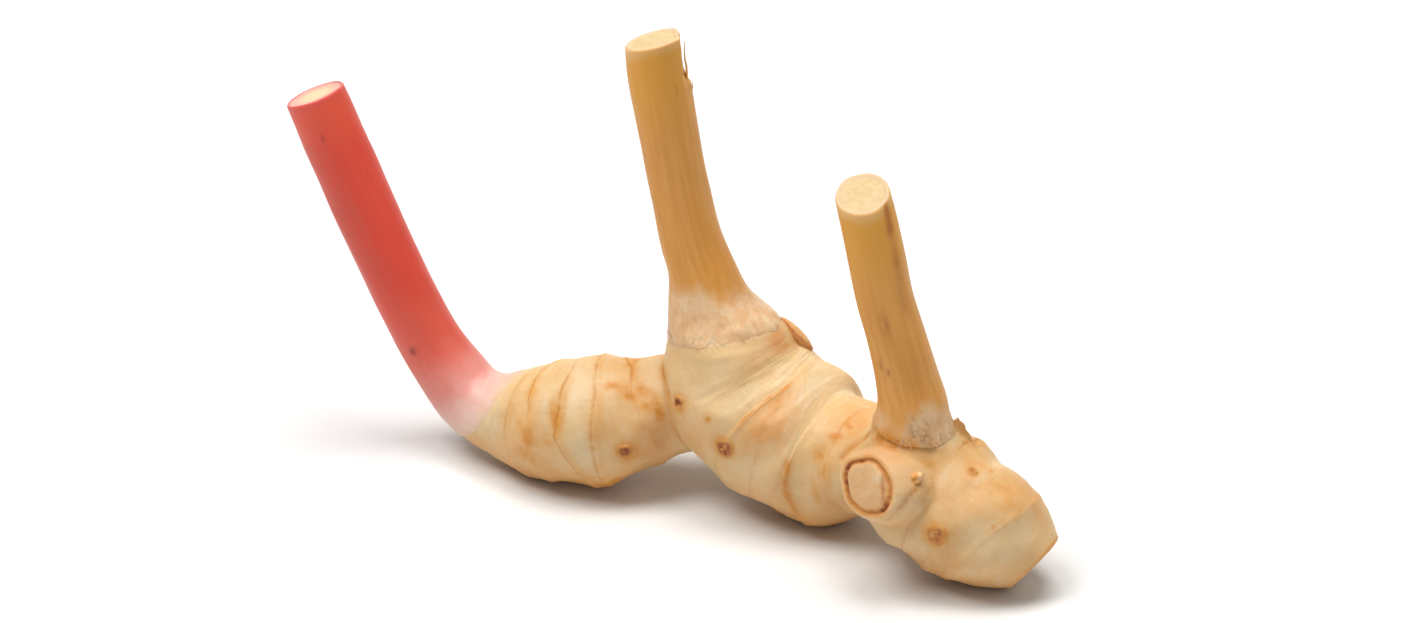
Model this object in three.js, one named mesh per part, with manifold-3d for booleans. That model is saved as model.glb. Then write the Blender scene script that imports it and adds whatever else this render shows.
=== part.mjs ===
// A fresh galangal rhizome with three cut shoots, lying on its three low lobes.
// Millimetres, +Z up. X runs along the rhizome, towards the end that was cut off the clump.

import * as THREE from 'three';
import { mergeVertices } from 'three/addons/utils/BufferGeometryUtils.js';
import Module from 'manifold-3d';

// Axes of the lobes and of the shoots that end them. A station is [x, y, z, radius], and an
// axis runs the way the plant grew, from the buried base of a lobe to the cut top of its shoot.
const LEFT_AXIS = [
  [14.5, 8, 23.6, 9], [7.5, 6.5, 22, 10.3], [2.5, 4.5, 20.8, 11.3], [-3, 2, 19.6, 11.8],
  [-8, -1.5, 18, 12.8], [-15.5, -5, 15.8, 14.6], [-23, -5.5, 14, 14.3], [-32.5, -6.5, 12.3, 12.3],
  [-42, -6, 11.6, 9.5], [-48.5, -5.5, 13, 8.5], [-54, -5, 17.5, 8], [-59, -5, 23.5, 7.5],
  [-64, -5.5, 32, 7.2], [-73.2, -6, 51, 7.2], [-82.6, -6, 71, 7.2], [-88, -6.5, 84, 6.9],
];
const MIDDLE_AXIS = [
  [57, -1.5, 19, 10], [46.8, 2, 18.7, 12.7], [37, 4, 15.7, 16], [28.5, 5, 18.7, 17.5],
  [20.5, 5.5, 21.8, 17.9], [13, 6, 29, 17], [9.5, 6, 38.5, 13.6], [6.5, 6, 46, 9.8], [4.5, 6, 54, 7.6],
  [2, 6, 61, 7], [-1.4, 6, 75, 6.6], [-4.3, 6, 90, 6.7], [-6, 6, 99.6, 6.8], [-7, 6, 109, 6.8],
];
const END_AXIS = [
  [92.5, -3.5, 6.9, 6.6], [87.5, -3, 9.2, 10.3], [82, -4, 12.3, 13], [73.5, -4.5, 15.3, 14.6],
  [66.5, -4.5, 18.8, 14.4], [60, -5, 20, 13.3], [55.5, -5, 20.8, 11], [52, -5, 21.3, 7.7],
  [49.5, -5, 21.6, 3.5],
];
const END_STEM_AXIS = [
  [62, -5, 18, 12.6], [62, -5, 26, 12], [62, -5, 31.6, 10.2], [61.5, -5, 35.5, 8.8], [61.4, -5, 40.7, 7.6],
  [60, -5, 46, 6.9], [58.5, -5.5, 52.6, 6.5], [55, -6, 64.2, 6.2], [52.4, -6.5, 76, 6.2],
  [50.7, -7, 84, 6.1], [48.9, -7, 91, 5.8],
];

// A scale scar rings a lobe at a distance along its axis. A leaning ring lies further along
// by front on the side that faces -Y, and by up on the side a quarter turn above it. A seam
// is the leaning ring at which a shoot starts.
const LEFT_RINGS = [
  { at: 24, front: -0.3, up: 0.6, height: 0.3 },
  { at: 31.5, front: 1.1, up: -1.2, height: 0.45 },
  { at: 37, front: 1, up: 0.8, height: 0.5 },
  { at: 44.8, front: 2.2, up: 0.5, height: 0.45 },
  { at: 50.5, front: 2.2, up: -0.3, height: 0.35 },
];
const PINK_SEAM = { at: 60, front: 0.3, up: -6.5 };
const PINK_UPRIGHT = { at: 76, front: 0, up: 0, height: 0 };
const MIDDLE_RINGS = [
  { at: 9, front: 1, up: 1.5, height: 0.35 },
  { at: 17.3, front: 2.8, up: -2.4, height: 0.5 },
  { at: 38, front: 2, up: 2.6, height: 0.5 },
  { at: 50, front: 1, up: 0, height: 0.25 },
];
const MIDDLE_SEAM = { at: 61, front: 1, up: -2 };
const END_RINGS = [
  { at: 13.5, front: 1.5, up: -4, height: 0.45 },
  { at: 19.5, front: 1, up: -2, height: 0.3 },
  { at: 27, front: 1, up: 0.5, height: 0.5 },
];
const END_SEAM = { at: 16.6, front: 0, up: -1.2 };

// How each axis is cut off, as leaning rings too.
const CLUMP_CUT = { at: 1.6, front: 0, up: -1.5 };
const PINK_CUT = { at: 148.5, front: 0, up: 0 };
const MIDDLE_CUT = { at: 131, front: 0, up: 1.2 };
const END_CUT = { at: 72.4, front: -2.1, up: -1.2 };

// Shape of one scar ring: offsets along the axis, and the share of the ring's height there.
const RING_PROFILE = [[-2.6, 0], [-0.4, 1], [0.5, -0.6], [2.8, 0]];

// Slow swellings of the skin: turns round the axis, length along it, and phase.
const SWELLINGS = [[1, 34, 0.4], [2, 23, 1.9], [3, 17, 4.2], [5, 13, 2.7]];
const SWELLING_HEIGHT = 0.22;
const THIN_STEM = { radius: 7.5, share: 0.12 };
const FULL_LOBE = { radius: 13, share: 1 };

const LOBE_SIDES = 44;
const LOBE_STEP = 3.4;
const STEM_SIDES = 28;
const STEM_STEP = 4.5;
const SEAM_GAP = 0.4;

// The rows of a skin turn with the chord of its axis over this distance to either side.
const FRAME_REACH = 6;

// The dried rim of a cut stands a little above the softer core.
const RIM_SHARE = 0.8;
const RIM_HEIGHT = 0.35;

// The outer sheath of the middle stem is torn off on one side, wholly above the full distance.
const TEAR = { above: 118.5, full: 124, depth: 1.4, angle: 122, halfWidth: 46, edge: 12 };

// The sheath's base stands out a little from the lobe, and thins over this length.
const SHEATH_LIP = { height: 0.5, length: 3 };

// A splinter left standing at the tear: a thin spike from one distance to another.
const SPLINTER = { from: 119, to: 131, angle: 110, radius: 0.75, tipOut: 6.3, sides: 5 };

// The stub of a cut side shoot: collars of cut scales, as [radius, height] round its axis.
const SIDE_STUB_BASE = [61, -17.2, 26.2];
const SIDE_STUB_AXIS = [-0.35, -0.88, 0.33];
const SIDE_STUB_SIDES = 26;
const SIDE_STUB_PROFILE = [
  [0, -9], [6, -9], [8.9, -1], [8.7, 0.9], [8.1, 1.6], [7.6, 1.2], [7.4, 3.2], [7, 4.1],
  [6.4, 4.5], [6, 4.3], [5.6, 3.8], [5.1, 4.2], [3.4, 4.8], [0, 5],
];

// A small bud pressed flat to the top of the middle lobe.
const FLAT_BUD = { at: 52, angle: 118, size: [5.6, 3.2, 1.9], sides: 14, rows: 10 };

// Scars of trimmed roots, by lobe: [distance along the axis, degrees round it from the front, radius].
const LEFT_SCARS = [
  [47.5, 16, 1.3], [47.2, -12, 1], [28, -13, 1.8], [46, 56, 0.9], [20.5, -4, 1.2],
  [24, -70, 1.4], [33, -62, 1.6], [41, -80, 1.2], [30, -128, 1.5], [22, 168, 1.3], [43, 150, 1.1],
];
const MIDDLE_SCARS = [
  [38.8, -5, 2.1], [46.7, 2, 1.1], [10.2, 60, 0.9], [51.2, -17, 1.5],
  [24, -68, 1.6], [33, -50, 1.3], [29, -125, 1.9], [42, 175, 1.6], [20, 160, 1.3], [46, -120, 1.5],
];
const END_SCARS = [
  [21.3, 8, 2.1], [23.3, 75, 1.2], [19.1, 89, 0.9], [30.6, 39, 1.4],
  [13, -60, 1.4], [25, -66, 1.5], [18, -140, 1.6], [24, 150, 1.4], [10, 175, 1.2],
];
const SCAR_SIDES = 8;

// Outline of a root scar, as [share of its radius, height over the skin] from its sunk foot.
const SCAR_PROFILE = [[0, -2], [0.75, -2], [1, -0.15], [0.8, 0.3], [0.45, 0.35], [0, 0.05]];

// What lies below the surface is cut away, which leaves a small flat spot under each lobe.
const FLOOR_BLOCK = [400, 200, 40];

// Middle of the whole's footprint, which is moved to the origin.
const FOOTPRINT_CENTRE = [0.7, -0.3];

const wasm = await Module();
wasm.setup();

const radians = THREE.MathUtils.degToRad;

// A smooth axis through stations, read by distance along their chords.
class Axis {
  constructor(stations) {
    this.stations = stations;
    this.knots = [0];
    for (let i = 1; i < stations.length; i += 1) {
      const chord = new THREE.Vector3(...stations[i]).distanceTo(new THREE.Vector3(...stations[i - 1]));
      this.knots.push(this.knots[i - 1] + chord);
    }
    this.length = this.knots.at(-1);
    this.slopes = stations.map((_, i) => {
      const before = Math.max(i - 1, 0);
      const after = Math.min(i + 1, stations.length - 1);
      const span = this.knots[after] - this.knots[before];
      return stations[i].map((_, axis) => (stations[after][axis] - stations[before][axis]) / span);
    });
  }

  // Centre and radius at a distance, no further than the ends.
  at(distance) {
    const { knots, stations, slopes } = this;
    const inside = THREE.MathUtils.clamp(distance, 0, this.length);
    let i = 0;
    while (i < knots.length - 2 && inside > knots[i + 1]) {
      i += 1;
    }
    const span = knots[i + 1] - knots[i];
    const t = (inside - knots[i]) / span;
    const [x, y, z, radius] = stations[i].map((value, axis) => {
      const start = (2 * t ** 3 - 3 * t ** 2 + 1) * value;
      const startSlope = (t ** 3 - 2 * t ** 2 + t) * span * slopes[i][axis];
      const end = (3 * t ** 2 - 2 * t ** 3) * stations[i + 1][axis];
      const endSlope = (t ** 3 - t ** 2) * span * slopes[i + 1][axis];
      return start + startSlope + end + endSlope;
    });
    return { centre: new THREE.Vector3(x, y, z), radius };
  }

  // Directions at a distance: along the axis, to the front, and a quarter turn above it.
  frame(distance) {
    const near = THREE.MathUtils.clamp(distance, FRAME_REACH, this.length - FRAME_REACH);
    const along = this.at(near + FRAME_REACH).centre.sub(this.at(near - FRAME_REACH).centre).normalize();
    const front = new THREE.Vector3(0, -1, 0);
    front.addScaledVector(along, -front.dot(along)).normalize();
    const up = new THREE.Vector3().crossVectors(along, front);
    return { along, front, up };
  }
}

const axes = {
  left: new Axis(LEFT_AXIS),
  middle: new Axis(MIDDLE_AXIS),
  end: new Axis(END_AXIS),
  endStem: new Axis(END_STEM_AXIS),
};

// The skin of one lobe or stem between two leaning rings.
class Skin {
  constructor(axis, from, to, rings = []) {
    this.axis = axis;
    this.rings = rings;
    this.from = from;
    this.to = to;
    this.leans = [from, ...rings, to];
  }

  // Front and up lean at a row, blended between the rings on either side of it.
  lean(row) {
    const { leans } = this;
    let i = 0;
    while (i < leans.length - 2 && row > leans[i + 1].at) {
      i += 1;
    }
    const t = THREE.MathUtils.smoothstep(row, leans[i].at, leans[i + 1].at);
    return {
      front: THREE.MathUtils.lerp(leans[i].front, leans[i + 1].front, t),
      up: THREE.MathUtils.lerp(leans[i].up, leans[i + 1].up, t),
    };
  }

  // Height of the scar rings at a row.
  ringHeight(row) {
    let total = 0;
    for (const ring of this.rings) {
      for (let i = 0; i < RING_PROFILE.length - 1; i += 1) {
        const [start, low] = RING_PROFILE[i];
        const [end, high] = RING_PROFILE[i + 1];
        const offset = row - ring.at;
        if (offset >= start && offset < end) {
          total += ring.height * THREE.MathUtils.mapLinear(offset, start, end, low, high);
        }
      }
    }
    return total;
  }

  // Slow swellings, smaller on thin stems.
  swelling(distance, angle, radius) {
    const fullness = THREE.MathUtils.smoothstep(radius, THIN_STEM.radius, FULL_LOBE.radius);
    const height = THREE.MathUtils.lerp(THIN_STEM.share, FULL_LOBE.share, fullness) * SWELLING_HEIGHT;
    return SWELLINGS.reduce((sum, [turns, length, phase]) => (
      sum + height * Math.sin(turns * angle + (2 * Math.PI * distance) / length + phase)
    ), 0);
  }

  // A point of the skin, and the outward direction there.
  point(row, angle, extra = 0) {
    const { front, up } = this.lean(row);
    const distance = row + front * Math.cos(angle) + up * Math.sin(angle);
    const { centre, radius } = this.axis.at(distance);
    const frame = this.axis.frame(distance);
    const outward = frame.front.clone().multiplyScalar(Math.cos(angle));
    outward.addScaledVector(frame.up, Math.sin(angle));
    const height = radius + this.ringHeight(row) + this.swelling(distance, angle, radius) + extra;
    return { position: centre.addScaledVector(outward, height), outward };
  }

  // Rows of the mesh: each ring's profile, and as many between as the step asks for.
  rows(step) {
    const marks = [this.from.at, this.to.at];
    for (const ring of this.rings) {
      marks.push(...RING_PROFILE.map(([offset]) => ring.at + offset));
    }
    const kept = marks.filter((row) => row >= this.from.at && row <= this.to.at).sort((a, b) => a - b);
    const rows = [kept[0]];
    for (const row of kept.slice(1)) {
      const last = rows.at(-1);
      const count = Math.max(1, Math.round((row - last) / step));
      for (let i = 1; i <= count; i += 1) {
        rows.push(last + ((row - last) * i) / count);
      }
    }
    return rows;
  }
}

const middleOf = (points) => (
  points.reduce((sum, point) => sum.add(point), new THREE.Vector3()).divideScalar(points.length)
);

// A closed body from rows of points, with a fan at each end.
function closedBody(rows) {
  const sides = rows[0].length;
  const positions = rows.flat().flatMap((point) => point.toArray());
  const indices = [];
  for (let row = 0; row < rows.length - 1; row += 1) {
    for (let side = 0; side < sides; side += 1) {
      const next = (side + 1) % sides;
      const [a, b] = [row * sides + side, row * sides + next];
      indices.push(a, b, b + sides, a, b + sides, a + sides);
    }
  }
  positions.push(...middleOf(rows[0]).toArray(), ...middleOf(rows.at(-1)).toArray());
  const base = rows.length * sides;
  for (let side = 0; side < sides; side += 1) {
    const next = (side + 1) % sides;
    const last = base - sides;
    indices.push(base, next, side, base + 1, last + side, last + next);
  }
  const geometry = new THREE.BufferGeometry();
  geometry.setAttribute('position', new THREE.Float32BufferAttribute(positions, 3));
  geometry.setIndex(indices);
  return geometry;
}

const SMOOTH = () => 0;

// Points round one row of a skin, raised by an extra height at each row and angle.
function ringOf(skin, row, sides, extra) {
  return Array.from({ length: sides }, (_, side) => {
    const angle = (2 * Math.PI * side) / sides;
    return skin.point(row, angle, extra(row, angle)).position;
  });
}

// The core of a cut face: its rim drawn in towards the middle and lowered along the axis.
function cutCore(rim, along) {
  const middle = middleOf(rim);
  return rim.map((point) => point.clone().lerp(middle, 1 - RIM_SHARE).addScaledVector(along, -RIM_HEIGHT));
}

// A lobe or stem as a closed body, with a rim round its cut top if it has one.
function sweptBody(skin, sides, step, { cutTop = false, extra = SMOOTH } = {}) {
  const rings = skin.rows(step).map((row) => ringOf(skin, row, sides, extra));
  if (cutTop) {
    rings.push(cutCore(rings.at(-1), skin.axis.frame(skin.to.at).along));
  }
  return closedBody(rings);
}

// Corners closer than this are one corner.
const SAME_CORNER = 1e-4;

// A solid to join or cut, with its corners shared and its empty triangles left out.
function toSolid(geometry) {
  const bare = new THREE.BufferGeometry();
  bare.setAttribute('position', geometry.getAttribute('position').clone());
  bare.setIndex(geometry.index);
  const merged = mergeVertices(bare, SAME_CORNER);
  const index = merged.index.array;
  const triangles = [];
  for (let i = 0; i < index.length; i += 3) {
    const [a, b, c] = index.slice(i, i + 3);
    if (a !== b && b !== c && c !== a) {
      triangles.push(a, b, c);
    }
  }
  return new wasm.Manifold(new wasm.Mesh({
    numProp: 3,
    vertProperties: new Float32Array(merged.getAttribute('position').array),
    triVerts: new Uint32Array(triangles),
  }));
}

function toGeometry(solid) {
  const mesh = solid.getMesh();
  const geometry = new THREE.BufferGeometry();
  geometry.setAttribute('position', new THREE.BufferAttribute(mesh.vertProperties, 3));
  geometry.setIndex(new THREE.BufferAttribute(mesh.triVerts, 1));
  geometry.computeVertexNormals();
  return geometry;
}

// A turned body set on a point, with its own axis along a direction.
function turnedBody(profile, sides, place, direction) {
  const points = profile.map(([radius, height]) => new THREE.Vector2(radius, height));
  const geometry = new THREE.LatheGeometry(points, sides);
  const unit = direction.clone().normalize();
  geometry.applyQuaternion(new THREE.Quaternion().setFromUnitVectors(new THREE.Vector3(0, 1, 0), unit));
  geometry.translate(place.x, place.y, place.z);
  return geometry;
}

// The raised, dimpled scar of a trimmed root.
function rootScar(skin, [at, degrees, radius]) {
  const { position, outward } = skin.point(at, radians(degrees));
  const profile = SCAR_PROFILE.map(([share, height]) => [share * radius, height]);
  return turnedBody(profile, SCAR_SIDES, position, outward);
}

function flatBud(skin, { at, angle, size, sides, rows }) {
  const { position, outward } = skin.point(at, radians(angle));
  const { along } = skin.axis.frame(at);
  const across = new THREE.Vector3().crossVectors(outward, along).normalize();
  const flatAlong = new THREE.Vector3().crossVectors(across, outward);
  const geometry = new THREE.SphereGeometry(1, sides, rows);
  geometry.scale(...size);
  geometry.applyMatrix4(new THREE.Matrix4().makeBasis(flatAlong, across, outward));
  geometry.translate(...position.toArray());
  return geometry;
}

// Skins, each from one leaning ring to the next, with half the seam gap kept at either side.
const shifted = (ring, by) => ({ ...ring, at: ring.at + by });
const square = (at) => ({ at, front: 0, up: 0 });
const skins = {
  left: new Skin(axes.left, square(0), shifted(PINK_SEAM, -SEAM_GAP / 2), LEFT_RINGS),
  pink: new Skin(axes.left, shifted(PINK_SEAM, SEAM_GAP / 2), PINK_CUT, [PINK_UPRIGHT]),
  middle: new Skin(axes.middle, square(0), shifted(MIDDLE_SEAM, -SEAM_GAP / 2), MIDDLE_RINGS),
  middleStem: new Skin(axes.middle, shifted(MIDDLE_SEAM, SEAM_GAP / 2), MIDDLE_CUT),
  end: new Skin(axes.end, CLUMP_CUT, square(axes.end.length), END_RINGS),
  endBase: new Skin(axes.endStem, square(0), shifted(END_SEAM, -SEAM_GAP / 2)),
  endStem: new Skin(axes.endStem, shifted(END_SEAM, SEAM_GAP / 2), END_CUT),
};

// The rhizome: three lobes grown together, the stub of a side shoot, a bud and root scars.
function makeRhizome() {
  const bodies = [
    sweptBody(skins.left, LOBE_SIDES, LOBE_STEP),
    sweptBody(skins.middle, LOBE_SIDES, LOBE_STEP),
    sweptBody(skins.end, LOBE_SIDES, LOBE_STEP),
    sweptBody(skins.endBase, STEM_SIDES, STEM_STEP),
    turnedBody(
      SIDE_STUB_PROFILE,
      SIDE_STUB_SIDES,
      new THREE.Vector3(...SIDE_STUB_BASE),
      new THREE.Vector3(...SIDE_STUB_AXIS),
    ),
    flatBud(skins.middle, FLAT_BUD),
    ...LEFT_SCARS.map((scar) => rootScar(skins.left, scar)),
    ...MIDDLE_SCARS.map((scar) => rootScar(skins.middle, scar)),
    ...END_SCARS.map((scar) => rootScar(skins.end, scar)),
  ];
  const whole = bodies.map(toSolid).reduce((sum, body) => sum.add(body));
  const floor = new THREE.BoxGeometry(...FLOOR_BLOCK).translate(0, 0, -FLOOR_BLOCK[2] / 2);
  return toGeometry(whole.subtract(toSolid(floor)));
}

// The middle stem's outer sheath: a lip at its base, and a torn side near its top.
function outerSheath(row, angle) {
  const thinned = THREE.MathUtils.smoothstep(row, MIDDLE_SEAM.at, MIDDLE_SEAM.at + SHEATH_LIP.length);
  const lip = SHEATH_LIP.height * (1 - thinned);
  const turn = THREE.MathUtils.radToDeg(angle) - TEAR.angle;
  const side = THREE.MathUtils.smoothstep(TEAR.halfWidth - Math.abs(turn), 0, TEAR.edge);
  return lip - TEAR.depth * side * THREE.MathUtils.smoothstep(row, TEAR.above, TEAR.full);
}

// The middle stem: sheath bases flaring onto the lobe, a torn side and a splinter left standing.
function makeMiddleStem() {
  const skin = skins.middleStem;
  const stem = toSolid(sweptBody(skin, STEM_SIDES, STEM_STEP, { cutTop: true, extra: outerSheath }));
  const foot = skin.point(SPLINTER.from, radians(SPLINTER.angle), -SPLINTER.radius).position;
  const tip = skin.axis.at(SPLINTER.to).centre;
  tip.addScaledVector(skin.point(SPLINTER.to, radians(SPLINTER.angle)).outward, SPLINTER.tipOut);
  const height = foot.distanceTo(tip);
  const blade = new THREE.ConeGeometry(SPLINTER.radius, height, SPLINTER.sides);
  blade.translate(0, height / 2, 0);
  const lean = tip.clone().sub(foot).normalize();
  blade.applyQuaternion(new THREE.Quaternion().setFromUnitVectors(new THREE.Vector3(0, 1, 0), lean));
  blade.translate(...foot.toArray());
  return toGeometry(stem.add(toSolid(blade)));
}

function namedMesh(name, geometry, color, roughness) {
  const mesh = new THREE.Mesh(geometry, new THREE.MeshStandardMaterial({ color, roughness, metalness: 0 }));
  mesh.name = name;
  return mesh;
}

const galangal = new THREE.Group();
galangal.position.set(-FOOTPRINT_CENTRE[0], -FOOTPRINT_CENTRE[1], 0);
galangal.add(
  namedMesh('rhizome', makeRhizome(), 0xe9cf9f, 0.5),
  namedMesh('pink_shoot', sweptBody(skins.pink, STEM_SIDES, STEM_STEP, { cutTop: true }), 0xe8675c, 0.4),
  namedMesh('middle_stem', makeMiddleStem(), 0xcf9c58, 0.55),
  namedMesh('end_stem', sweptBody(skins.endStem, STEM_SIDES, STEM_STEP, { cutTop: true }), 0xc9924c, 0.55),
);

export default galangal;
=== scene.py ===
"""Looks of a fresh galangal root with three cut shoots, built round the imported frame."""

import math

import bpy
import numpy as np
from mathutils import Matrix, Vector, kdtree


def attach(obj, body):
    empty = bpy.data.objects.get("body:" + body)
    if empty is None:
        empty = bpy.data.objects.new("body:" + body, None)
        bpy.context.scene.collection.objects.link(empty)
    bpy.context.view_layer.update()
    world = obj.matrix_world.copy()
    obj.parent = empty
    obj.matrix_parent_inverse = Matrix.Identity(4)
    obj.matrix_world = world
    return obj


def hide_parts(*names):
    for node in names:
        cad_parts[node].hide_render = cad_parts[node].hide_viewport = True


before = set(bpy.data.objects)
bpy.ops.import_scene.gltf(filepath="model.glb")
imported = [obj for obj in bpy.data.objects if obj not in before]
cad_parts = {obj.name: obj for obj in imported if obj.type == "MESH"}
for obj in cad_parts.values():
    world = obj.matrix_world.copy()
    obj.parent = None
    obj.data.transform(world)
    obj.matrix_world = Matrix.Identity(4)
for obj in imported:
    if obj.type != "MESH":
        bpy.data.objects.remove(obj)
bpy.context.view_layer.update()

# Shapes are made in millimetres and moved so that the middle of the footprint is at the origin.
MM = 0.001
FOOTPRINT_CENTRE = np.array([0.7, -0.3, 0.0])

# Axes of the lobes and shoots as stations of x, y, z and radius, from base to tip.
LEFT_AXIS = [
    (14.5, 8, 23.6, 9), (7.5, 6.5, 22, 10.3), (2.5, 4.5, 20.8, 11.3), (-3, 2, 19.6, 11.8),
    (-8, -1.5, 18, 12.8), (-15.5, -5, 15.8, 14.6), (-23, -5.5, 14, 14.3), (-32.5, -6.5, 12.3, 12.3),
    (-42, -6, 11.6, 9.5), (-48.5, -5.5, 13, 8.5), (-54, -5, 17.5, 8), (-59, -5, 23.5, 7.5),
    (-64, -5.5, 32, 7.2), (-73.2, -6, 51, 7.2), (-82.6, -6, 71, 7.2), (-88, -6.5, 84, 6.9),
]
MIDDLE_AXIS = [
    (57, -1.5, 19, 10), (46.8, 2, 18.7, 12.7), (37, 4, 15.7, 16), (28.5, 5, 18.7, 17.5),
    (20.5, 5.5, 21.8, 17.9), (13, 6, 29, 17), (9.5, 6, 38.5, 13.6), (6.5, 6, 46, 9.8),
    (4.5, 6, 54, 7.6), (2, 6, 61, 7), (-1.4, 6, 75, 6.6), (-4.3, 6, 90, 6.7), (-6, 6, 99.6, 6.8),
    (-7, 6, 109, 6.8),
]
END_AXIS = [
    (92.5, -3.5, 6.9, 6.6), (87.5, -3, 9.2, 10.3), (82, -4, 12.3, 13), (73.5, -4.5, 15.3, 14.6),
    (66.5, -4.5, 18.8, 14.4), (60, -5, 20, 13.3), (55.5, -5, 20.8, 11), (52, -5, 21.3, 7.7),
    (49.5, -5, 21.6, 3.5),
]
END_STEM_AXIS = [
    (62, -5, 18, 12.6), (62, -5, 26, 12), (62, -5, 31.6, 10.2), (61.5, -5, 35.5, 8.8),
    (61.4, -5, 40.7, 7.6), (60, -5, 46, 6.9), (58.5, -5.5, 52.6, 6.5), (55, -6, 64.2, 6.2),
    (52.4, -6.5, 76, 6.2), (50.7, -7, 84, 6.1), (48.9, -7, 91, 5.8),
]


def ring(at, front, up, height=0.0, line=((0, 0),), wander=((0, 0),)):
    """A leaning scar ring. Its line's darkness and its wander in mm are listed by degrees round it."""
    tall = height if isinstance(height, list) else [(0, height)]
    return {"at": at, "front": front, "up": up, "height": tall, "line": line, "wander": wander}


LEFT_RINGS = [
    ring(24, -0.3, 0.6, 0.3, [(30, 0.2), (56, 0.8), (95, 0.7), (150, 0.4), (-90, 0.4), (-20, 0.1)],
         [(-90, 0), (40, 0.3), (75, -1), (110, 0.5)]),
    ring(31.5, 1.1, -1.2, 0.32, [(-40, 0.6), (0, 0.5), (45, 0.45), (90, 0.6), (180, 0.5)],
         [(-60, 0.4), (0, 0.3), (45, -0.2), (90, 0.3)]),
    ring(37, 1, 0.8, 0.38, [(-40, 0.5), (-8, 0.6), (15, 1), (40, 0.7), (94, 0.5), (180, 0.7)],
         [(-70, -0.4), (-20, -0.9), (0, 0), (13, 0.8), (34, -0.8), (51, -1), (76, -1.6), (94, -1), (150, 0)]),
    ring(44.8, 2.2, 0.5, 0.32, [(-60, 0.4), (10, 0.2), (39, 0.6), (57, 0.8), (90, 0.7), (180, 0.5)],
         [(-60, 0), (39, -0.8), (53, 0.6), (86, 0.6), (130, 0)]),
    ring(50.5, 2.2, -0.3, 0.25, [(-60, 0.2), (-10, 0.1), (16, 0.45), (74, 0.5), (180, 0.4)],
         [(-60, 0), (16, 0), (74, -0.5), (120, 0.3)]),
]
PINK_SEAM = ring(60, 0.3, -6.5)
PINK_UPRIGHT = ring(76, 0, 0)
MIDDLE_RINGS = [
    ring(9, 1, 1.5, 0.3, [(-60, 0.2), (0, 0.15), (34, 0.3), (68, 0.4), (112, 0.4), (180, 0.5)],
         [(-60, 0), (14, 0.4), (40, -0.6), (70, 0.6), (120, 0)]),
    ring(17.3, 2.8, -2.4, [(-90, 0.3), (-33, 0.8), (0, 0.9), (20, 0.5), (40, 0.2), (60, 0.1), (125, 0.1), (180, 0.4)],
         [(-60, 0.9), (-30, 1), (4, 1), (14, 0.7), (24, 0.2), (60, 0.1), (125, 0.2), (180, 0.6)],
         [(-80, -0.6), (-33, 0), (-16, 0.9), (4, 1.9), (18, 1.9), (40, 0.5), (125, 1.2)]),
    ring(28.3, 2.4, 0.1, 0.12, [(-90, 0.3), (-30, 0.4), (0, 0.35), (14, 0.1), (60, 0.05), (120, 0.1), (180, 0.4)],
         [(-60, -0.5), (-21, -0.6), (8, 0.5), (60, 0), (120, 0)]),
    ring(38, 2, 2.6, [(-90, 0.2), (18, 0.3), (40, 0.5), (60, 0.4), (75, 0.1), (130, 0.1), (180, 0.3)],
         [(-90, 0.5), (-21, 0.3), (5, 0), (18, 0.2), (24, 1), (66, 1.1), (74, 0.3), (95, 0.15), (180, 0.6)],
         [(-90, 0), (-21, -0.4), (20, -1.2), (40, -1.2), (53, -1.8), (64, -3), (90, -2.4), (130, -1)]),
    ring(50, 1, 0, [(-90, 0.25), (0, 0.15), (30, 0.06), (130, 0.06), (180, 0.25)], [(-60, 0.2), (20, 0), (90, 0), (180, 0.4)]),
]
MIDDLE_SEAM = ring(61, 1, -2)
MIDDLE_FILLS = [(54.3, 40, 4.5, 14, 0.8)]
MIDDLE_BENDS = [((38, 2, 33), 14, 260), ((26, 2, 37), 14, 260), ((22.5, -4.5, 36.8), 12, 400)]
END_RINGS = [
    ring(13.5, 1.5, -4, 0.3, [(-80, 0.4), (0, 0.05), (28, 0.1), (40, 0.7), (62, 0.6), (80, 0.2), (180, 0.5)],
         [(-80, 0), (37, 0.9), (52, 0.4), (100, -0.4)]),
    ring(19.5, 1, -2, [(-80, 0.25), (0, 0.1), (90, 0.12), (180, 0.3)], [(-80, 0.3), (0, 0.05), (70, 0.15), (180, 0.4)]),
    ring(27, 1, 0.5, 0.35, [(-60, 0.7), (-20, 0.5), (10, 0.1), (60, 0.25), (115, 0.9), (180, 0.6)],
         [(-70, 0.6), (0, 0), (60, 0.8), (115, -0.5)]),
]
END_SEAM = ring(16.6, 0, -1.2)
CLUMP_CUT = ring(1.6, 0, -1.5)
PINK_CUT = ring(148.5, 0, 0)
MIDDLE_CUT = ring(131, 0, 1.2)
END_CUT = ring(72.4, -2.1, -1.2)

# A scar ring's shape: a slow rise, a thin lip, a drop beyond it and a slow return.
RING_OFFSETS = [-3.0, -1.5, -0.45, -0.15, 0.3, 1.2, 3.2]
RING_HEIGHTS = [0, 0.4, 1.0, 0.65, -0.4, -0.3, 0]
RING_WOBBLE = 0.35
LINE_REACH = 2.0

# Slow swellings of the skin: turns round the axis, length along it, and phase.
SWELLINGS = [(1, 34, 0.4), (2, 23, 1.9), (3, 17, 4.2), (5, 13, 2.7)]
SWELLING_HEIGHT = 0.22
THIN_STEM, THIN_SHARE = 7.5, 0.12
FULL_LOBE = 13

FRAME_REACH = 6
LOBE_STEP = 0.46
STEM_STEP = 0.5

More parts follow.
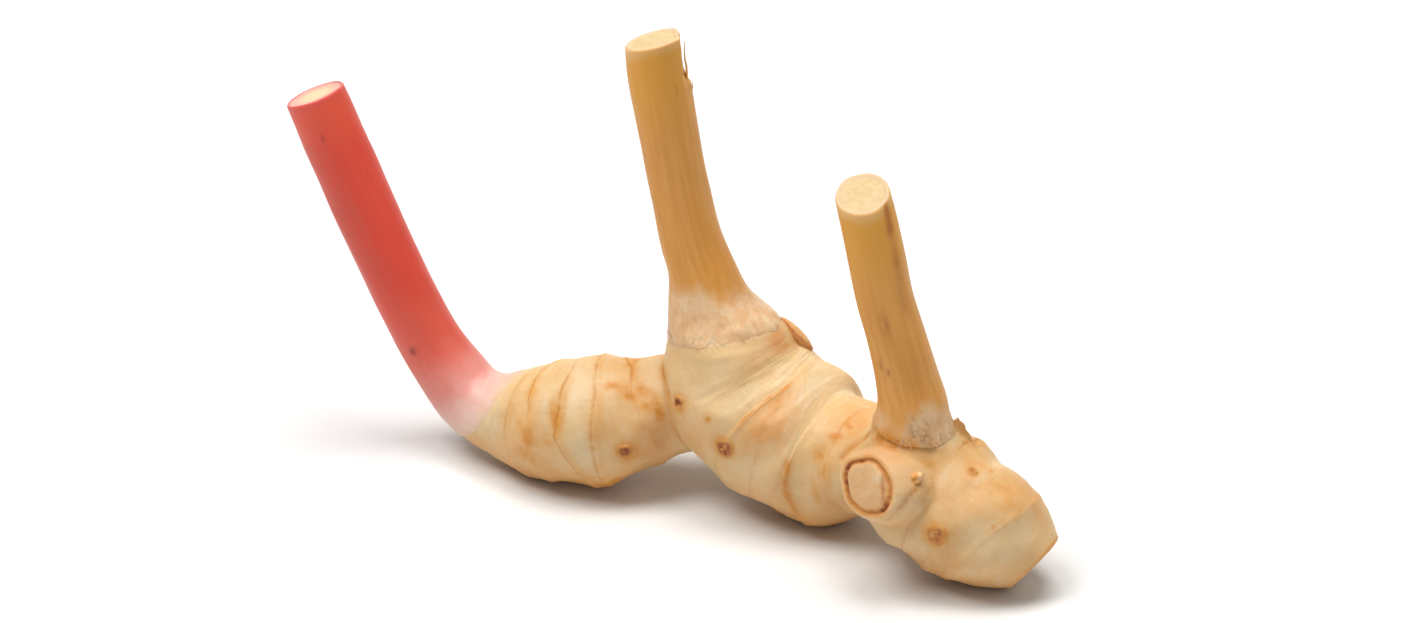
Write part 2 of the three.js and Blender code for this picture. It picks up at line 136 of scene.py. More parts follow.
# Stains of the skin: distance along the lobe, degrees round it, half sizes in mm, strength.
LEFT_STAINS = [
    (24, 48, 5, 4.5, 0.6), (22, 30, 4, 5, 0.4), (24.5, 86, 1.6, 4, 0.6), (21, 0, 6, 9, 0.3), (27.6, -17, 2.4, 3.4, 1),
    (46.2, 14, 3.4, 3.8, 1.1), (46.2, -11, 3, 3, 1), (46.7, 58, 1.8, 2.4, 0.8), (40.5, -52, 5, 3, 1.1), (33, -50, 5, 3, 1.1), (38.3, 30, 1.6, 5, 1.1), (41.2, 9, 3, 3.5, 0.55), (35.5, -40, 5, 5, 0.65),
    (31, 23, 3, 6, 0.35), (27, 85, 4, 5, 0.45), (46, 56, 1.6, 1.6, 0.6), (40, 70, 3, 4, 0.3),
    (46.4, 56, 0.9, 0.8, 1), (20.5, -4, 1.6, 1.4, 0.7), (51, 35, 3, 5, 0.3), (30, 150, 6, 7, 0.5), (44, 170, 5, 5, 0.6), (22, -100, 5, 6, 0.5),
    (38, -120, 5, 6, 0.5),
]
MIDDLE_STAINS = [
    (46.4, 3, 1.1, 1, 1.2), (10.3, 68, 1, 1, 1.6), (10.5, 50, 1.5, 1.1, 1.4), (12.3, 29, 1.6, 2.2, 1.1), (10.6, 14, 2.4, 2.4, 1), (35, 50, 3, 3.5, 0.6), (34, 20, 5, 6, 0.4), (38.8, -3, 2.6, 2.8, 0.9), (51.2, -19, 2.4, 2.6, 1), (8.1, 65, 3.5, 3.5, 0.7), (9.1, 66, 1.1, 1.1, 1.3), (10.9, 75, 0.7, 0.7, 1), (10, 45, 1.6, 2, 0.8),
    (11.8, 84, 4, 5.5, 0.3), (10.8, 112, 4, 6, 0.6), (14.3, -13, 0.8, 4, 0.8), (55, 104, 5, 5, 0.6),
    (20, -30, 2, 5, 0.6), (27, -50, 5, 5, 0.35), (50, -20, 2.5, 3, 0.6), (43, -28, 3, 4, 0.35),
    (30, 30, 3, 3, 0.3), (57, 170, 5, 6, 0.5), (35, 160, 6, 7, 0.6), (20, -130, 6, 8, 0.5),
    (45, -150, 5, 6, 0.4), (6, -30, 4, 5, 0.4),
]
END_STAINS = [
    (19.1, 89, 0.8, 0.8, 1), (14, 75, 5, 6, 0.65), (24, 92, 4, 5, 0.6), (21, 9, 3.2, 3.2, 1.1), (30.6, 39, 2, 2, 0.7),
    (27, 112, 3.5, 4, 0.8), (34, 62, 3, 4, 0.4), (8, 95, 4, 5, 0.5), (17, -12, 4, 5, 0.3),
    (12, 160, 5, 6, 0.5), (25, -110, 6, 6, 0.5), (33, 10, 3, 5, 0.3),
]

BASE_STAINS = [(15.6, -10, 1.6, 6, 0.8), (15.2, 25, 1.4, 4, 0.5)]

# Where the skin is peach or pale, in the same terms.
LEFT_PEACH = [
    (22, 30, 7, 8, 0.4), (21, -14, 8, 11, 0.9), (50, 0, 5, 12, 0.4), (48, 2, 4, 8, 0.8), (42, -20, 3, 6, 0.6), (25, 150, 9, 20, 0.7),
    (45, 170, 6, 15, 0.5), (30, -90, 12, 14, 0.6), (42, 20, 3, 6, 0.4),
]
LEFT_PALE = [
    (19, 52, 4, 6, 0.8), (34.3, -10, 2.2, 16, 1), (34.3, 50, 2.2, 14, 1), (40.5, 50, 2.5, 6, 0.8), (38.5, -35, 2, 4, 0.8),
    (29, 60, 2, 6, 0.6), (34, 170, 2.4, 20, 0.7), (57, 20, 3, 16, 0.6),
]
MIDDLE_PEACH = [
    (32, 38, 5.5, 10, 1.1), (24, -35, 5, 9, 0.6), (9, 85, 5, 12, 0.6), (12, -20, 4, 10, 0.7), (56, 88, 4, 4, 1.1),
    (45, -20, 4, 8, 0.6), (30, 170, 12, 18, 0.6), (50, -140, 8, 12, 0.5), (55, 80, 3, 8, 0.5),
]
MIDDLE_PALE = [
    (28, 78, 6, 10, 1), (56, 24, 4, 9, 0.5), (53.5, -7, 4, 7, 0.45), (43, 70, 3, 9, 0.8), (22, 30, 4, 6, 0.5), (46, 30, 4, 7, 0.6), (30, -5, 4, 6, 0.5),
    (20, 120, 3, 8, 0.5), (44, 130, 5, 8, 0.5),
]
END_PEACH = [
    (22, 58, 8, 10, 0.7), (10, 100, 6, 10, 0.7), (18, -30, 7, 9, 0.6), (30, 90, 6, 10, 0.6), (15, 170, 10, 15, 0.6),
]
END_PALE = [(14, 30, 4, 8, 0.6), (8, 60, 4, 8, 0.6), (26, -20, 3, 6, 0.4)]

# Scars of trimmed roots: distance along the lobe, degrees round it, radius, darkness.
LEFT_SCARS = [
    (28, -13, 1.6, 1.05), (24, -70, 1.4, 0.8), (33, -62, 1.6, 0.8), (41, -80, 1.2, 0.6),
    (30, -128, 1.5, 0.8), (22, 168, 1.3, 0.7), (43, 150, 1.1, 0.6),
]
MIDDLE_SCARS = [
    (36.8, -2, 2.2, 1), (50.2, -20, 1.7, 1), (24, -68, 1.6, 0.8), (29, -125, 1.9, 0.9), (42, 175, 1.6, 0.7),
    (20, 160, 1.3, 0.8), (46, -120, 1.5, 0.8),
]
END_SCARS = [
    (21, 9, 2.3, 0.75), (23.3, 75, 1.1, 0.5), (13, -60, 1.4, 0.8), (25, -66, 1.5, 0.8),
    (18, -140, 1.6, 0.9), (24, 150, 1.4, 0.6), (10, 175, 1.2, 0.6),
]
SCAR_SHAPE = [
    (0.72, -2), (1, -0.5), (1.1, -0.2), (1.04, 0.02), (0.92, 0.1), (0.78, 0.16), (0.65, 0.15), (0.54, 0.09),
    (0.43, 0.03), (0.3, 0.03), (0.18, 0.07), (0.06, 0.09),
]
SCAR_SIDES = 26

# The stub of a cut side shoot: heights by radius round its own axis, and its lean to the lower right.
SIDE_STUB_BASE = (59.6, -17.5, 26.2)
SIDE_STUB_AXIS = np.array([-0.24, -0.91, 0.34])
SIDE_STUB_RADII = [0, 2, 3.4, 4.2, 4.65, 5.0, 5.25, 5.5, 5.8, 6.15, 6.5, 6.9, 7.4, 7.9, 8.4, 9.0]
SIDE_STUB_HEIGHTS = [5.1, 5.05, 4.9, 4.7, 4.4, 4.1, 3.95, 4.1, 4.3, 4.15, 4.15, 3.7, 2.8, 1.5, -0.5, -6]
SIDE_STUB_GROOVE = 5.25
SIDE_STUB_SKEW = np.array([0.79, -0.46, -0.39]) * 0.14
SIDE_STUB_WIDTH = 1.16
SIDE_STUB_STEP = 0.2

# By degrees round the stub, from the left over the bottom: how far out its scar lies, how dark it is,
# and how far out and how dark the second line inside it is.
STUB_OUTLINE = [(0, 1.02), (41, 0.98), (90, 1.16), (137, 1.25), (180, 1), (233, 0.95), (270, 1), (304, 0.96)]
STUB_SCAR = [
    (0, 1), (30, 1), (50, 0.6), (75, 0.3), (100, 0.4), (120, 0.8), (150, 0.9), (170, 0.6), (200, 0.4), (235, 0.3),
    (255, 0.45), (275, 0.5), (290, 0.4), (305, 0.9), (318, 0.6), (340, 0.9),
]
STUB_INNER_REACH = [(140, 5.6), (155, 5.0), (170, 4.2), (188, 3.8), (205, 3.9), (222, 4.2), (240, 4.9)]
STUB_INNER_LINE = [(140, 0), (152, 0.7), (180, 1), (210, 0.8), (240, 0.3), (250, 0)]
# Painted highlight: how pale the upper right of the stub's fleshy core is made, by degrees round the stub.
STUB_CORE_HIGHLIGHT = [(190, 0), (225, 1), (262, 0)]
STUB_PEACH = [(0, 0.6), (90, 0.8), (180, 0.4), (235, 1), (275, 1.6), (320, 1.4)]

FLAT_BUD = {
    "place": (23.8, 14.8, 38.2), "along": (0.8, 0.04, -0.6), "outward": (0.46, 0.62, 0.64), "size": (5.2, 2.4, 1.2),
}

# Creases and stained lines on the rhizome, by points in mm: half width, depth, stain and darkness at
# the first point, and the share of them left at the last point.
CREASES = [
    ([(57.5, -12.9, 34.3), (59.7, -13.6, 34.1), (62, -14, 33.9), (64.5, -13.8, 33.9), (67.2, -12.6, 33.9), (69.4, -10.9, 33)],
     1.4, 0.35, 1.15, 0.1, 0.6),
    ([(46.7, -8.9, 24.3), (47.7, -8, 25.9), (49.3, -7.2, 27.4), (51.6, -7.2, 30), (55.3, -11.1, 34.5)],
     0.8, 0.4, 1, 0.35, 0.6),
    ([(69.7, -18, 28.9), (69.6, -19.4, 28.1), (68.7, -21.5, 27), (67.4, -22.6, 25.2), (65.7, -23.3, 22.8), (61.9, -22.1, 19.4)],
     0.5, 0.35, 1, 0.5, 0.25),
    ([(71.3, -16.7, 26.9), (70.4, -19.3, 24.3), (68.1, -20.6, 21.1), (62.7, -18.1, 16.2)], 0.8, 0.3, 0.6, 0.12, 0.5),
    ([(69.3, -12.5, 31.1), (70.3, -10.7, 32.2), (71.1, -8.8, 32.7)], 1.4, 0, 0.8, 0, 0.6),
    ([(-1.6, -1.2, 31.8), (0.6, -4.6, 30.7), (2, -6.2, 29.2), (3.8, -7.8, 27.5), (5.4, -8.7, 23.2)], 0.9, 0.15, 1.1, 0.05, 0.5),
    ([(-10.1, -9.8, 28.5), (-7.8, -9.3, 28.1), (-4.9, -9.6, 26.9), (-1.9, -9.4, 25.8), (0.3, -8.8, 24.5), (1.4, -8.5, 22.8)],
     1.2, 0.05, 1.15, 0, 0.9),
    ([(-4.1, -7.7, 27.9), (-1.4, -7.9, 26.7), (0.7, -8.2, 24.8)], 1.6, 0, 1.05, 0, 0.9),
    ([(20.0, 14.3, 41.9), (22, 13.4, 41.6), (23.3, 12.8, 40.6), (25.8, 12.7, 38.7), (28.2, 14, 36.1)], 0.5, 0.2, 1, 0.9, 0.6),
    ([(-9.7, 1, 30), (-7.3, -5.5, 29.9), (-6.7, -7.6, 28.6)], 0.6, 0, 0.9, 0.08, 0.7),
    ([(34.9, -11.6, 20.8), (34.5, -12.4, 17.8), (34.6, -11.9, 14), (35.4, -10.9, 10.3), (36.5, -9.5, 7)], 0.8, 0.12, 1, 0.25, 0.7),
]
CREASE_REACH = 2

# A root bud at the side of the stub: its place, direction and radius, and heights by share of the radius.
STUB_BUD = ((68.8, -18.2, 29.7), (0.5, -0.8, 0.33), 1.4)
STUB_BUD_SHAPE = [(1.1, -1.5), (1.05, -0.4), (1, 0.1), (0.9, 0.35), (0.72, 0.5), (0.5, 0.55), (0.28, 0.5), (0.08, 0.45)]
STUB_BUD_RIGHT = np.array([0.89, 0.45, 0])

# Dried fibres over the crease above the stub.
TUFT = [(64.2, -12.5, 39.6), (65.6, -12.2, 38.2), (67.2, -11.9, 36.4), (69.2, -10.9, 34.4)]

# The torn side and the splinter at the top of the middle stem.
# A dried scale on the end lobe: its foot, tip, sag, the way it faces, half width and half thickness.
DRIED_SCALE = ((74.3, -1.0, 29.7), (70.1, -0.9, 36.2), (-0.4, -0.1, -0.5), (0.45, -0.65, 0.6), 1.4, 0.18)

TEAR = {"above": 118.5, "full": 124, "depth": 1.4, "angle": 122, "half_width": 46, "edge": 12}
SHEATH_LIP, SHEATH_LIP_LENGTH = 0.15, 3
SHEATH_DIVE = 0.12
SPLINTER = {"from": 119, "to": 131, "angle": 110, "radius": 0.75, "tip_out": 6.3}

# What is painted on the points, with the value where nothing else is said.
FIELDS = {
    "skin": (0, 0, 0), "ring": 9, "line": 0, "stain": 0, "scar": 0, "peach": 0, "pale": 0, "flesh": 0, "share": 1,
    "grow": 0, "below": 99, "glow": 1,
}


def smoothstep(low, high, value):
    t = np.clip((value - low) / (high - low), 0, 1)
    return t * t * (3 - 2 * t)


def noise(points, size, seed):
    """Smooth random values from -1 to 1 that change over about size mm."""
    place = np.asarray(points, float) / size + 31.7 * (seed + 1)
    cell = np.floor(place).astype(np.int64)
    part = place - cell
    part = part * part * (3 - 2 * part)
    total = np.zeros(place.shape[:-1])
    for corner in range(8):
        step = np.array([corner & 1, corner >> 1 & 1, corner >> 2 & 1])
        at = (cell + step).astype(np.uint64)
        mixed = at[..., 0] * np.uint64(73856093) ^ at[..., 1] * np.uint64(19349663)
        mixed = (mixed ^ at[..., 2] * np.uint64(83492791)) & np.uint64(0xFFFFFFFF)
        mixed = ((mixed ^ (mixed >> np.uint64(15))) * np.uint64(2246822519)) & np.uint64(0xFFFFFFFF)
        mixed = ((mixed ^ (mixed >> np.uint64(13))) * np.uint64(3266489917)) & np.uint64(0xFFFFFFFF)
        value = ((mixed >> np.uint64(8)) & np.uint64(0xFFFF)).astype(float) / 32767.5 - 1
        total += value * np.prod(np.where(step, part, 1 - part), axis=-1)
    return total


class Axis:
    """A smooth axis through stations, read by distance along their chords."""

    def __init__(self, stations):
        self.stations = np.array(stations, float)
        chords = np.linalg.norm(np.diff(self.stations[:, :3], axis=0), axis=1)
        self.knots = np.concatenate([[0], np.cumsum(chords)])
        self.length = self.knots[-1]
        last = len(stations) - 1
        before = np.maximum(np.arange(last + 1) - 1, 0)
        after = np.minimum(np.arange(last + 1) + 1, last)
        span = self.knots[after] - self.knots[before]
        self.slopes = (self.stations[after] - self.stations[before]) / span[:, None]

    def at(self, distance):
        """Centre and radius at distances, no further than the ends."""
        inside = np.clip(distance, 0, self.length)
        i = np.clip(np.searchsorted(self.knots, inside) - 1, 0, len(self.knots) - 2)
        span = (self.knots[i + 1] - self.knots[i])[..., None]
        t = (inside - self.knots[i])[..., None] / span
        value = (2 * t**3 - 3 * t**2 + 1) * self.stations[i] + (t**3 - 2 * t**2 + t) * span * self.slopes[i]
        value += (3 * t**2 - 2 * t**3) * self.stations[i + 1] + (t**3 - t**2) * span * self.slopes[i + 1]
        return value[..., :3], value[..., 3]

    def frame(self, distance):
        """Directions at distances: along the axis, to the front, and a quarter turn above it."""
        near = np.clip(distance, FRAME_REACH, self.length - FRAME_REACH)
        along = unit(self.at(near + FRAME_REACH)[0] - self.at(near - FRAME_REACH)[0])
        front = np.broadcast_to(np.array([0.0, -1.0, 0.0]), along.shape)
        front = unit(front - along * np.sum(front * along, axis=-1, keepdims=True))
        return along, front, np.cross(along, front)


def around(values, angle):
    """A value listed by degrees round an axis, at angles in radians."""
    degrees, levels = np.array(values, float).T
    return np.interp(np.degrees(angle), degrees, levels, period=360)


def unit(vectors):
    return vectors / np.linalg.norm(vectors, axis=-1, keepdims=True)


def shifted(source, by):
    return {**source, "at": source["at"] + by}


class Skin:
    """The skin of one lobe or stem between two leaning rings."""

    def __init__(self, axis, start, end, rings=(), seed=0):
        self.axis, self.start, self.end, self.rings, self.seed = axis, start, end, rings, seed
        self.leans = [start, *rings, end]

    def lean(self, row):
        at = np.array([r["at"] for r in self.leans])
        i = np.clip(np.searchsorted(at, row) - 1, 0, len(at) - 2)
        t = smoothstep(at[i], at[i + 1], row)
        fronts = np.array([r["front"] for r in self.leans])
        ups = np.array([r["up"] for r in self.leans])
        return fronts[i] * (1 - t) + fronts[i + 1] * t, ups[i] * (1 - t) + ups[i + 1] * t

    def place(self, row, angle):
        """Where rows and angles lie: centre, outward direction, radius and distance along the axis."""
        row, angle = np.broadcast_arrays(np.asarray(row, float), np.asarray(angle, float))
        front_lean, up_lean = self.lean(row)
        distance = row + front_lean * np.cos(angle) + up_lean * np.sin(angle)
        centre, radius = self.axis.at(distance)
        _, front, up = self.axis.frame(distance)
        outward = front * np.cos(angle)[..., None] + up * np.sin(angle)[..., None]
        share = THIN_SHARE + (1 - THIN_SHARE) * smoothstep(THIN_STEM, FULL_LOBE, radius)
        for turns, length, phase in SWELLINGS:
            wave = np.sin(turns * angle + 2 * math.pi * distance / length + phase)
            radius = radius + SWELLING_HEIGHT * share * wave
        return centre, outward, radius, distance

    def point(self, row, degrees, extra=0.0):
        centre, outward, radius, _ = self.place(row, math.radians(degrees))
        return centre + outward * (radius + extra), outward

    def flat(self, distance, angle, radius):
        """Coordinates in mm of the skin as if the axis were straight."""
        far = distance + 300 * self.seed
        return np.stack([radius * np.cos(angle), radius * np.sin(angle), far], axis=-1)

    def ring_relief(self, row, angle):
        """Height of the scar rings, offset to the nearest one, and how dark its line is."""
        height, line = np.zeros(row.shape), np.zeros(row.shape)
        offset = np.full(row.shape, float(FIELDS["ring"]))
        for index, mark in enumerate(self.rings):
            loop = np.stack([9 * np.cos(angle), 9 * np.sin(angle), np.full(angle.shape, 40.0 * index)], axis=-1)
            path = mark["at"] + RING_WOBBLE * noise(loop, 4, self.seed) + 0.12 * noise(loop, 0.9, self.seed)
            path = path + around(mark["wander"], angle)
            here = row - path
            strong = 0.75 + 0.35 * noise(loop, 7, self.seed + 3)
            height += around(mark["height"], angle) * strong * np.interp(here, RING_OFFSETS, RING_HEIGHTS)
            closer = np.abs(here) < np.abs(offset)
            offset = np.where(closer, here, offset)
            fade = np.clip(0.95 + 0.3 * noise(loop, 5, self.seed + 5), 0.5, 1.1)
            fade = fade * smoothstep(LINE_REACH, 0.6 * LINE_REACH, np.abs(here))
            line = np.where(closer, around(mark["line"], angle) * fade, line)
        return height, offset, line


left_axis, middle_axis = Axis(LEFT_AXIS), Axis(MIDDLE_AXIS)
end_axis, end_stem_axis = Axis(END_AXIS), Axis(END_STEM_AXIS)
BASE = ring(0, 0, 0)
HALF_GAP = 0.05
left_skin = Skin(left_axis, BASE, shifted(PINK_SEAM, -HALF_GAP), LEFT_RINGS, seed=1)
pink_skin = Skin(left_axis, shifted(PINK_SEAM, HALF_GAP), PINK_CUT, [PINK_UPRIGHT], seed=2)
middle_skin = Skin(middle_axis, BASE, shifted(MIDDLE_SEAM, -HALF_GAP), MIDDLE_RINGS, seed=3)
middle_stem_skin = Skin(middle_axis, shifted(MIDDLE_SEAM, HALF_GAP), MIDDLE_CUT, seed=4)
end_skin = Skin(end_axis, CLUMP_CUT, ring(end_axis.length, 0, 0), END_RINGS, seed=5)
end_base_skin = Skin(end_stem_axis, BASE, shifted(END_SEAM, -HALF_GAP), seed=6)
end_stem_skin = Skin(end_stem_axis, shifted(END_SEAM, HALF_GAP), END_CUT, seed=7)


class Body:
    """A closed surface in mm: points, faces, and values painted on the points."""

    def __init__(self, points, faces, **fields):
        self.points = np.asarray(points, float)
        self.faces = faces
        self.fields = {}
        for name, default in FIELDS.items():
            shape = (len(self.points), 3) if name == "skin" else (len(self.points),)
            given = fields.get(name, default)
            self.fields[name] = np.array(np.broadcast_to(given, shape), float)


def together(bodies):
    points = np.concatenate([b.points for b in bodies])
    faces, first = [], 0
    for body in bodies:
        faces += [[first + corner for corner in face] for face in body.faces]
        first += len(body.points)
    fields = {name: np.concatenate([b.fields[name] for b in bodies]) for name in FIELDS}
    return Body(points, faces, **fields)


def tube(rows, fields):
    """A closed body from rows of points, each end closed by a fan, with fields of the rows' shape."""
    count, sides = rows.shape[:2]
    step, side = np.arange(count - 1)[:, None], np.arange(sides)[None, :]
    near, far = step * sides + side, step * sides + (side + 1) % sides
    quads = np.stack([near, far, far + sides, near + sides], axis=-1).reshape(-1, 4)
    low, high = count * sides, count * sides + 1
    faces = quads.tolist()
    around = range(sides)
    faces += [[low, (i + 1) % sides, i] for i in around]
    top = (count - 1) * sides
    faces += [[high, top + i, top + (i + 1) % sides] for i in around]
    points = np.concatenate([rows.reshape(-1, 3), [rows[0].mean(axis=0)], [rows[-1].mean(axis=0)]])
    painted = {}
    for name, value in fields.items():
        wide = (count, sides, 3) if name == "skin" else (count, sides)
        full = np.broadcast_to(value, wide)
        flat = full.reshape(-1, 3) if name == "skin" else full.reshape(-1)
        ends = [full[0].mean(axis=0)], [full[-1].mean(axis=0)]
        painted[name] = np.concatenate([flat, *ends])
    return Body(points, faces, **painted)


def patches(places, distance, angle, radius):
    """The strongest of soft round patches on a skin."""
    total = np.zeros(distance.shape)
    for at, degrees, length, width, strength in places:
        turn = (np.degrees(angle) - degrees + 180) % 360 - 180
        across = np.radians(turn) * radius
        away = ((distance - at) / length) ** 2 + (across / width) ** 2
        total = np.maximum(total, strength * np.exp(-away))
    return total


def stain_of(stains, distance, angle, radius, flat):
    """Strength of the stains on a skin, their edges made uneven."""
    total = patches(stains, distance, angle, radius)
    uneven = 0.95 + 0.4 * noise(flat, 2.2, 11) + 0.25 * noise(flat, 0.9, 12)
    return np.clip(total * uneven, 0, 1)


def lobe_relief(flat):
    """Fine unevenness of a lobe's skin: lumps, creases round it and fibres along it."""
    lumps = 0.16 * noise(flat, 6, 21) + 0.09 * noise(flat, 2.6, 22)
    creases = 0.055 * noise(flat * (0.2, 0.2, 1), 0.8, 23)
    fibres = 0.045 * noise(flat * (1, 1, 0.16), 0.8, 24)
    return lumps + creases + fibres


def cut_rows(rim, along, shape, size=1.0, seed=0):
    """Rows of a cut face from its rim inwards, from shares of the rim's reach and lifts along the cut."""
    middle = rim.mean(axis=0)
    rows, shares = [], []
    for share, lift in shape:
        row = middle + (rim - middle) * share
        flat = row - middle
        ridges = 0.025 * noise(flat, 0.9, seed) + 0.06 * noise(flat, 2.8, seed + 1)
        rows.append(row + along * (size * lift + ridges * (share < 0.93))[:, None])
        shares.append(np.full(len(rim), share))
    return np.stack(rows), np.stack(shares)


STEM_CUT_SHAPE = [
    (0.985, 0.1), (0.96, 0.16), (0.93, 0.17), (0.9, 0.14), (0.87, 0.06), (0.84, -0.04), (0.81, -0.1),
    (0.77, -0.12), (0.71, -0.1), (0.64, -0.1), (0.55, -0.08), (0.45, -0.06), (0.35, -0.03), (0.25, 0),
    (0.15, 0.01), (0.06, 0.01),
]


def even_rows(low, high, step):
    return np.linspace(low, high, max(2, round((high - low) / step) + 1))


def angles_for(radius, step):
    sides = round(2 * math.pi * radius / step / 4) * 4
    return 2 * math.pi * np.arange(sides) / sides


def eased(rows, spread, spots):
    """Rows of a lobe smoothed near spots where its axis bends and they crowd together."""
    for centre, reach, rounds in spots:
        away = np.linalg.norm(rows - centre, axis=-1)
        weight = (0.6 * spread * smoothstep(reach, 0.6 * reach, away))[1:-1, :, None]
        for _ in range(rounds):
            beside = np.roll(rows, 1, axis=1) + np.roll(rows, -1, axis=1)
            mean = (rows[:-2] + rows[2:] + beside[1:-1]) / 4
            rows[1:-1] += weight * (mean - rows[1:-1])
    return rows


def lobe(skin, radius, stains, peach=(), pale=(), reach=0.0, cut_start=False, spots=(), fills=()):
    """A lobe of the rhizome. It reaches on a little, narrower, inside the shoot that ends it."""
    low, high = skin.start["at"], skin.end["at"]
    row = even_rows(low, high + reach, LOBE_STEP)[:, None]
    angle = angles_for(radius, LOBE_STEP)[None, :]
    row, angle = np.broadcast_arrays(row, angle)
    centre, outward, girth, distance = skin.place(row, angle)
    flat = skin.flat(distance, angle, girth)
    height, offset, line = skin.ring_relief(row, angle)
    height = height + patches(fills, distance, angle, girth)
    tuck = -0.08 * smoothstep(high - 1.8, high - 0.6, row) - 0.8 * smoothstep(high + 0.8, high + 2.4, row)
    settled = smoothstep(high, high - 4, row)
    rows = eased(centre + outward * girth[..., None], smoothstep(high - 1.5, high - 6, row), spots)
    rows = rows + outward * (height + lobe_relief(flat) * settled + tuck)[..., None]
    stain = stain_of(stains, distance, angle, girth, flat)
    uneven = np.clip(0.9 + 0.5 * noise(flat, 5, 13), 0.4, 1.2)
    # Painted shade: the skin is stained darker orange low on the lobes and most where they touch the floor, and turns
    # peach and less pale low down.
    low_stain = np.maximum(0.42 * smoothstep(17, 4, rows[..., 2]), 0.8 * smoothstep(3.5, 0.4, rows[..., 2]))
    stain = np.maximum(stain, low_stain * uneven)
    painted_low_peach_shade = 0.7 * smoothstep(13, 3, rows[..., 2])
    fields = {
        "skin": flat, "ring": offset, "line": line, "stain": stain, "grow": row - high,
        "peach": np.maximum(stain_of(peach, distance, angle, girth, flat), painted_low_peach_shade),
        "pale": stain_of(pale, distance, angle, girth, flat) * (1 - painted_low_peach_shade),
    }
    if not cut_start:
        return tube(rows, fields)
    fields["stain"] = np.maximum(stain, 0.8 * smoothstep(low + 1.1, low + 0.5, row))
    along = -skin.axis.frame(np.array(low))[0]
    shape = [(share, 0.8 * lift) for share, lift in STEM_CUT_SHAPE]
    face, shares = cut_rows(rows[0], along, shape, seed=31)
    full = np.concatenate([face[::-1], rows])
    count = len(shape)
    painted = {}
    for name, value in fields.items():
        value = np.broadcast_to(value, (*row.shape, 3) if name == "skin" else row.shape)
        painted[name] = np.concatenate([np.repeat(value[:1], count, axis=0), value])
    painted["skin"][:count] = face[::-1]
    painted["flesh"] = np.concatenate([np.ones((count, row.shape[1])), np.zeros(row.shape)])
    painted["share"] = np.concatenate([shares[::-1], np.ones(row.shape)])
    return tube(full, painted)


def turned(shape, sides, place, direction, seed, radius=1.0, wobble=0.05, sway=0.0, **fields):
    """A turned body on a point, its own axis along a direction, its outline uneven."""
    direction = unit(np.asarray(direction, float))
    side = unit(np.cross(direction, [0.0, 0.0, 1.0]))
    over = np.cross(direction, side)
    angle = 2 * math.pi * np.arange(sides) / sides
    profile = np.array(shape, float)
    loop = np.stack([np.cos(angle), np.sin(angle), np.zeros(sides)], axis=-1)
    rows = []
    for index, (share, height) in enumerate(profile):
        depth = np.array([0, 0, 0.12 * index])
        out = share * radius * (1 + wobble * noise(loop + depth, 0.7, seed))
        lift = height + sway * noise(loop * share * radius, 0.45 * radius * shape[0][0], seed + 1) * (height > 0)
        spoke = np.cos(angle)[:, None] * side + np.sin(angle)[:, None] * over
        rows.append(np.asarray(place) + spoke * out[:, None] + direction * lift[:, None])
    return tube(np.stack(rows), fields)


def root_scar(place, outward, radius, darkness, seed):
    """A low ragged rim round the dark core of a trimmed root."""
    shares = np.array([share for share, _ in SCAR_SHAPE])[:, None]
    angle = 2 * math.pi * np.arange(SCAR_SIDES)[None, :] / SCAR_SIDES
    place_on = np.stack([shares * np.cos(angle), shares * np.sin(angle), 0 * shares * angle], axis=-1)
    patchy = np.clip(0.95 + 0.4 * noise(place_on, 0.45, seed), 0.65, 1.1)
    dark = darkness * patchy * np.interp(shares, [0, 0.3, 0.55, 0.8, 0.95, 1.1], [0.9, 1, 0.9, 0.5, 0.25, 0.05])
    ragged = [(share, height * (0.8 + 0.2 * radius) if height > -1 else height) for share, height in SCAR_SHAPE]
    body = turned(ragged, SCAR_SIDES, place, outward, seed, radius, wobble=0.22, sway=0.07, scar=dark, stain=0.95)
    body.fields["skin"] = body.points + 500
    return body


